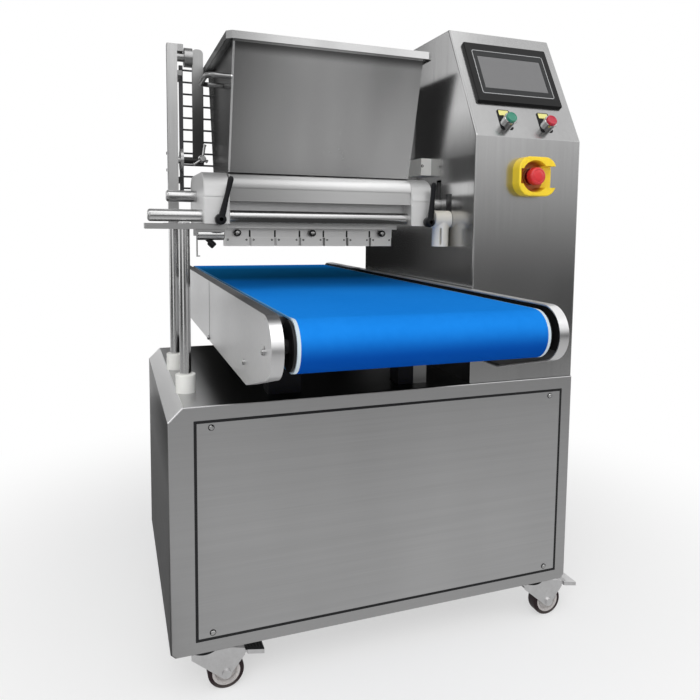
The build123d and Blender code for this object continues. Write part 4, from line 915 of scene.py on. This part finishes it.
def makeSeals():
    d = panelSeal
    bm = bmesh.new()
    grows = (2 * (d["gap"] + d["lip"]), d["gap"] + 2 * d["bead"], d["gap"] - 2 * d["bead"], -2 * d["lip"])
    crest, brow, foot = d["rise"], d["rise"] - d["brow"], d["rise"] - d["foot"]
    for x, z, width, height, y, out in (d["front"], d["rear"]):
        outer, crown, inset, inner = (
            roundedOutline(width + g, height + g, d["corner"], steps=2) for g in grows)
        layers = ((outer, foot), (outer, brow), (crown, crest), (inset, crest), (inner, brow), (inner, foot))
        stack(bm, facing((x, y, z), (0, out, 0)), layers, closed=True)
    addPiece("panelSeals", bm, "base", "blackPaint")
    s = coverSeam
    bm = bmesh.new()
    outline = roundedOutline(s["width"], s["high"] - s["low"], s["corner"], steps=2)
    place = facing((s["x"], s["y"], (s["low"] + s["high"]) / 2), (-1, 0, 0))
    stack(bm, place, [([(x * k, y) for x, y in outline], h) for k, h in s["layers"]])
    addPiece("coverSeam", bm, "base", "blackPaint")


makeSeals()
print("caps, seals and seam made")

# depositing head: slots above the nozzle gaps, clamp rod under the bar, feeler wire, stay clamp

nozzleSlot = {"firstX": -0.243, "pitch": 0.05, "count": 6, "width": 0.0034, "low": 0.8125, "high": 0.8265,
              "face": -0.129, "sink": 0.0004, "cornerPart": 2.05}
clampRod = {"y": -0.2065, "z": 0.8180, "left": -0.3520, "right": -0.3045, "radius": 0.0095, "ease": 0.0012,
            "end": 0.86}
feelerWire = {"x": -0.3520, "y": -0.2030, "top": 0.8240, "foot": 0.7785, "radius": 0.0013, "toe": 0.006,
              "ease": 0.0006, "end": 0.6, "toeEnds": (0.9, 0.5)}
stayClamp = {"x": -0.3165, "z": 0.9700, "back": 0.0052, "front": -0.0140, "radius": 0.0082, "pin": 0.0028,
             "barrel": ((1.0, 0.0), (1.0, 0.45), (0.86, 0.5), (0.86, 0.85), (0.6, 1.0)),  # shares
             "pinFrom": 0.007, "pinRoot": 0.004,
             "knob": ((1.0, 0.004), (1.35, 0.003), (1.35, 0.0008), (0.9, 0.0)),
             "pins": ((0.16, 1.0, 0.030), (-0.75, -0.55, 0.022), (0.85, -0.45, 0.012))}
uprightBolts = {"x": -0.384, "y": 0.0075, "zs": (0.9796, 0.9458), "headRadius": 0.0036, "headHeight": 0.0030,
                "socketRadius": 0.0017}


def makeNozzleSlots():
    d = nozzleSlot
    bm = bmesh.new()
    outline = roundedOutline(d["width"], d["high"] - d["low"], d["width"] / d["cornerPart"], steps=4)
    for i in range(d["count"]):
        place = facing((d["firstX"] + i * d["pitch"], d["face"], (d["low"] + d["high"]) / 2), (0, -1, 0))
        stack(bm, place, ((outline, -d["sink"]), (outline, d["sink"] / 2)))
    addPiece("nozzleSlots", bm, "head", "blackPaint")


def makeHeadFittings():
    bm = bmesh.new()
    c = clampRod
    r, span = c["radius"], c["right"] - c["left"]
    profile = [(r * c["end"], 0), (r, c["ease"]), (r, span - c["ease"]), (r * c["end"], span)]
    lathe(bm, profile, facing((c["left"], c["y"], c["z"]), (1, 0, 0)), count=36)
    f = feelerWire
    r, drop = f["radius"], f["top"] - f["foot"]
    profile = [(r, 0), (r, drop - f["ease"]), (r * f["end"], drop)]
    lathe(bm, profile, facing((f["x"], f["y"], f["top"]), (0, 0, -1), (0, 1, 0)), count=16)
    thick, thin = f["toeEnds"]
    profile = [(r * thick, 0), (r * thick, f["toe"]), (r * thin, f["toe"] + f["ease"])]
    lathe(bm, profile, facing((f["x"] - r, f["y"], f["foot"] + r), (1, 0, 0)), count=16)
    s = stayClamp
    deep = s["back"] - s["front"]
    profile = [(s["radius"] * wide, deep * high) for wide, high in s["barrel"]]
    lathe(bm, profile, facing((s["x"], s["back"], s["z"]), (0, -1, 0)), count=28)
    for dx, dz, length in s["pins"]:
        profile = [(s["pin"], s["pinRoot"])]
        profile += [(s["pin"] * wide, length - short) for wide, short in s["knob"]]
        aim = Vector((dx, 0, dz)).normalized()
        lathe(bm, profile, facing((s["x"], s["front"] + s["pinFrom"], s["z"]), aim, (0, 1, 0)), count=18)
    addPiece("headFittings", bm, "head", "rodChrome")


def makeUprightBolts():
    d = uprightBolts
    places = [((d["x"], d["y"], z), (-1, 0, 0)) for z in d["zs"]]
    addScrews("uprightBolts", d, places, "head", "blackPaint")


makeNozzleSlots()
makeHeadFittings()
makeUprightBolts()
print("head trimmed")

# casters: turned hubs, dark raceway rings as painted shadow, and the rubber tread on the left pedal; screw of
# the sensor block

wheelHub = {"width": 0.026, "axle": 0.0325, "profile": (
    (0.0056, 0.0008), (0.0098, 0.0008), (0.0104, 0.0040), (0.0178, 0.0048), (0.0196, 0.0012), (0.0212, 0.0),
    (0.0250, 0.0), (0.0250, 0.0260), (0.0212, 0.0260), (0.0196, 0.0248), (0.0178, 0.0212), (0.0104, 0.0220),
    (0.0098, 0.0252), (0.0056, 0.0252))}
wheelPlaces = {"front_left": (-0.317, -0.268), "front_right": (0.373, -0.268), "rear_left": (-0.317, 0.226),
               "rear_right": (0.373, 0.226)}
pedalTread = {"left": -0.2835, "right": -0.2492, "front": -0.2885, "back": -0.2475, "leftTop": 0.0711,
              "rightTop": 0.0650, "thick": 0.0042, "ribs": 6, "rise": 0.0010, "ease": 0.0012, "end": 0.55,
              "corner": 0.5, "sink": 0.0003}
raceShadow = {"inner": 0.0228, "outer": 0.0262, "low": 0.0803, "high": 0.0878, "ease": (0.0008, 0.0010),
            "swivels": ((-0.355, -0.268), (0.335, -0.268), (-0.355, 0.226), (0.335, 0.226))}
sensorScrew = {"place": (0.1335, -0.112, 0.9667), "headRadius": 0.0030, "headHeight": 0.0012,
               "socketRadius": 0.0015}


def makeHubs():
    d = wheelHub
    for corner, (x, y) in wheelPlaces.items():
        bm = bmesh.new()
        lathe(bm, d["profile"], facing((x, y + d["width"] / 2, d["axle"]), (0, -1, 0)), count=44, closed=True)
        piece = addPiece(corner + "_hubTurned", bm, corner + "_wheel", "greyWheel", angle=30)
        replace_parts(piece, corner + "_hub")


def makePedalTread():
    d = pedalTread
    bm = bmesh.new()
    count = d["ribs"] * 4
    rings = []
    edges = ((d["front"], d["end"]), (d["front"] + d["ease"], 1.0),
             (d["back"] - d["ease"], 1.0), (d["back"], d["end"]))
    for y, k in edges:
        upper, lower = [], []
        for i in range(count + 1):
            t = i / count
            x = d["left"] + (d["right"] - d["left"]) * t
            z = d["leftTop"] + (d["rightTop"] - d["leftTop"]) * t
            end = d["corner"] if i in (0, count) else 1.0
            rib = d["rise"] if i % 4 in (1, 2) else 0.0
            upper.append(Vector((x, y, z + (d["thick"] + rib) * k * end)))
            lower.append(Vector((x, y, z - d["sink"])))
        rings.append(upper + lower[::-1])
    loft(bm, rings)
    addPiece("leftPedalTread", bm, "front_left_brake", "blackKnob")


def makeRaceShadowRings():
    d = raceShadow
    bm = bmesh.new()
    deep = d["high"] - d["low"]
    side, end = d["ease"]
    profile = ((d["inner"], 0.0), (d["outer"] - side, 0.0), (d["outer"], end), (d["outer"], deep - end),
               (d["outer"] - side, deep), (d["inner"], deep))
    for x, y in d["swivels"]:
        lathe(bm, profile, Matrix.Translation((x, y, d["low"])), count=48, closed=True)
    # dark rings at the swivel raceways: painted shadow of the gap
    addPiece("raceShadowRings", bm, "base", "blackKnob")


makeHubs()
makePedalTread()
makeRaceShadowRings()
screwPlaces = [(sensorScrew["place"], (0, -1, 0))]
addScrews("sensorScrew", sensorScrew, screwPlaces, "base", "blackPaint")
print("casters dressed")

# studio: floor, softboxes, and grey cards that only reflections see

studio = {"floor": grey(0.93), "floorRough": 0.9, "floorSize": 40.0,
          "floorGlow": 0.5, "floorNear": 0.45, "floorFar": 1.5,
          "ambient": 0.34, "lining": 0.3, "liningGap": 0.05}
lamps = {  # place, target, size, power
    "topSoftbox": ((-1.4, -2.3, 3.0), (-1.4, -2.2, 0.0), (5.0, 3.4), 84.0),
    "frontSoftbox": ((-1.6, -3.4, 2.1), (0.0, 0.0, 0.6), (3.4, 3.0), 48.0),
    "rightSoftbox": ((2.8, -1.6, 1.9), (0.0, 0.0, 0.7), (1.6, 1.8), 14.0),
}
flatCards = {  # x, y, height, levels, further settings
    "floorCard": ((-6, 6), (-6, 6), 0.002, (0.53, 0.38, 0.9, 2.7), {"radial": True}),
    "leftCard": ((-1.5, -0.43), (-0.6, 1.9), 0.004, (0.06,), {}),
    # beltCard and underCard: dark sheets in place of the belt, painted dark reflection above and below it
    "beltCard": ((-0.270, 0.120), (-0.575, 0.575), 0.7150, (0.06,), {"oneSided": True}),
    "underCard": ((0.146, -0.304), (-0.575, 0.575), 0.6345, (0.012,), {"oneSided": True}),  # faces down
    "coverCard": ((-2.4, -0.2), (1.95, 6.0), 0.006, (0.62,), {}),
    "ceilingCard": ((-3.0, 3.0), (-0.5, 2.6), 3.0, (0.36, 1.05, 0.0, 0.63), {"along": "X"}),
}
sideCards = {  # x, four corners in y and z, levels
    # painted shadow of the hopper on the column's left side (hopperCard), painted reflections of the hopper's
    # right wall (glowCard) and of the end block (blockCard)
    "hopperCard": (0.1085, ((-0.069, 0.99), (0.068, 0.99), (0.068, 1.165), (-0.137, 1.165)), (0.028,)),
    "glowCard": (0.1085, ((-0.220, 0.985), (-0.069, 0.985), (-0.137, 1.165), (-0.262, 1.165)),
                 (0.22, 1.1, 0.985, 1.085)),
    "blockCard": (0.1075, ((-0.222, 0.904), (-0.118, 0.904), (-0.110, 0.931), (-0.222, 0.931)), (1.0,)),
}
frontCards = {  # y, x, z, levels, further settings
    "shoulderCard": (-1.5, (-1.9, -0.35), (1.2, 2.95), (0.7,), {}),
    # painted shade on the column's left side near the belt, seen in its reflection
    "columnCard": (0.32, (-0.20, 0.152), (0.70, 0.835), (0.016, 0.15, 0.0, -0.18),
                   {"along": "X", "oneSided": True}),
}
arcCards = {  # radius, angles from straight ahead of the front, foot and top, levels
    "frontWall": (3.2, (-100, 100), (0.15, 1.50), (0.02, 0.95, 0.52, 1.45)),
    "backWall": (3.2, (128, 184), (0.003, 1.75), (0.02,)),
    "hopperWall": (3.2, (184, 203), (1.10, 2.70), (0.04,)),
    "lowWall": (3.2, (198, 203), (0.30, 1.10), (0.03,)),
    "columnWall": (3.2, (203, 222), (0.30, 1.60), (0.03, 0.60, 0.5, 1.6)),
    "leftStrip": (3.0, (-52, -30), (0.2, 2.0), (0.85,)),
    "midStrip": (3.0, (10, 15), (0.3, 1.2), (0.9,)),
    "rightStrip": (3.0, (51, 59), (0.2, 2.0), (1.0,)),
}


def rayMask(tree):  # camera, glossy and transmission rays see the white surround
    rays = tree.nodes.new("ShaderNodeLightPath").outputs
    seen = mathNode("MAXIMUM", rays["Is Camera Ray"], rays["Is Glossy Ray"])
    return mathNode("MAXIMUM", seen, rays["Is Transmission Ray"])


def setSurface(mat, factor, first, second):
    blend = addNode("ShaderNodeMixShader", {0: factor, 1: first, 2: second})
    feed(blend.outputs[0], mat.node_tree.nodes["Material Output"].inputs["Surface"])


def makeFloor():
    d = studio
    bm = bmesh.new()
    bmesh.ops.create_grid(bm, x_segments=1, y_segments=1, size=d["floorSize"])
    mesh = bpy.data.meshes.new("studioFloor")
    bm.to_mesh(mesh)
    bm.free()
    floor = newObject("studioFloor", mesh)
    mat, shader, coords = newMaterial("studioFloor")
    plain = {"Base Color": d["floor"], "Roughness": d["floorRough"], "Specular IOR Level": 0.0}
    for label, value in plain.items():
        feed(value, shader.inputs[label])
    away = vectorNode("LENGTH", coords)
    fade = rangeNode(away, d["floorGlow"], 1.0, d["floorNear"], d["floorFar"], soft=True)
    white = mat.node_tree.nodes.new("ShaderNodeEmission")
    setSurface(mat, times(fade, rayMask(mat.node_tree)), shader.outputs[0], white.outputs[0])
    mesh.materials.append(mat)


def makeWorld():
    world = bpy.data.worlds.new("studioWorld")
    scene.world = world
    world.use_nodes = True
    tree = world.node_tree
    back = tree.nodes["Background"]
    back.inputs["Color"].default_value = grey(1.0)
    low = studio["ambient"]
    feed(mathNode("MULTIPLY_ADD", rayMask(tree), 1.0 - low, low), back.inputs["Strength"])


def makeCard(name, corners, faces, low, high=None, start=0.0, stop=1.0,
             radial=False, along="Z", oneSided=False):
    mesh = bpy.data.meshes.new(name)
    mesh.from_pydata(corners, [], faces)
    card = newObject(name, mesh)
    mat, shader, coords = newMaterial(name)
    parts = mat.node_tree.nodes
    parts.remove(shader)
    glow = parts.new("ShaderNodeEmission")
    if high is None:
        glow.inputs["Color"].default_value = grey(low)
    else:
        measure = vectorNode("LENGTH", coords) if radial else splitNode(coords)[along]
        feed(rangeNode(measure, low, high, start, stop), glow.inputs["Strength"])
    if oneSided:
        clear = parts.new("ShaderNodeBsdfTransparent")
        behind = parts.new("ShaderNodeNewGeometry").outputs["Backfacing"]
        setSurface(mat, behind, glow.outputs[0], clear.outputs[0])
    else:
        feed(glow.outputs[0], parts["Material Output"].inputs["Surface"])
    mesh.materials.append(mat)
    card.visible_camera = card.visible_diffuse = card.visible_shadow = card.visible_transmission = False


def quadCard(name, corners, *levels, **more):
    makeCard(name, corners, [(0, 1, 2, 3)], *levels, **more)


def makeLamp(name, place, target, size, power):  # a softbox with a lining, so that no lamp shows behind it
    lamp = bpy.data.lights.new(name, "AREA")
    lamp.shape = "RECTANGLE"
    lamp.size, lamp.size_y = size
    lamp.energy = power
    holder = newObject(name, lamp)
    turn = (Vector(target) - Vector(place)).to_track_quat("-Z", "Y")
    holder.location = place
    holder.rotation_euler = turn.to_euler()
    corners = [Vector(place) + turn @ Vector((sx * size[0] / 2, sy * size[1] / 2, studio["liningGap"]))
               for sx, sy in ((-1, -1), (1, -1), (1, 1), (-1, 1))]
    quadCard(name + "Lining", corners, studio["lining"])


def arcCard(name, radius, angles, heights, levels, count=24):
    corners = []
    for z in heights:
        for i in range(count + 1):
            a = math.radians(angles[0] + (angles[1] - angles[0]) * i / count)
            corners.append((radius * math.sin(a), -radius * math.cos(a), z))
    faces = [(i, i + 1, count + 2 + i, count + 1 + i) for i in range(count)]
    makeCard(name, corners, faces, *levels)


def makeCards():
    for name, ((x0, x1), (y0, y1), z, levels, more) in flatCards.items():
        quadCard(name, ((x0, y0, z), (x1, y0, z), (x1, y1, z), (x0, y1, z)), *levels, **more)
    for name, (x, corners, levels) in sideCards.items():
        quadCard(name, [(x, y, z) for y, z in corners], *levels, oneSided=True)
    for name, (y, (x0, x1), (z0, z1), levels, more) in frontCards.items():
        quadCard(name, ((x0, y, z0), (x1, y, z0), (x1, y, z1), (x0, y, z1)), *levels, **more)
    for name, card in arcCards.items():
        arcCard(name, *card)


makeFloor()
makeWorld()
for name, lamp in lamps.items():
    makeLamp(name, *lamp)
makeCards()
print("studio set")

view = {"place": (-0.4963, -1.4434, 0.8417), "yaw": 20.994, "pitch": 5.1247, "roll": 0.7315, "focal": 673.78,
        "centreX": 369.18, "centreY": 284.01, "frame": 700.0, "sensor": 36.0, "far": 200.0}


def makeCamera():
    v = view
    yaw, pitch, roll = (math.radians(v[k]) for k in ("yaw", "pitch", "roll"))
    ahead = Vector((math.sin(yaw) * math.cos(pitch), math.cos(yaw) * math.cos(pitch), -math.sin(pitch)))
    right = Vector((math.cos(yaw), -math.sin(yaw), 0))
    up = right.cross(ahead)
    sideways = right * math.cos(roll) + up * math.sin(roll)
    upright = up * math.cos(roll) - right * math.sin(roll)
    data = bpy.data.cameras.new("photoCamera")
    data.sensor_fit = "HORIZONTAL"
    data.sensor_width = v["sensor"]
    data.lens = v["focal"] / v["frame"] * v["sensor"]
    data.shift_x = 0.5 - v["centreX"] / v["frame"]
    data.shift_y = v["centreY"] / v["frame"] - 0.5
    data.clip_end = v["far"]
    camera = newObject("photoCamera", data)
    turn = Matrix((sideways, upright, -ahead)).transposed().to_4x4()
    camera.matrix_world = Matrix.Translation(Vector(v["place"])) @ turn
    scene.camera = camera


makeCamera()
scene.view_settings.view_transform = "Standard"
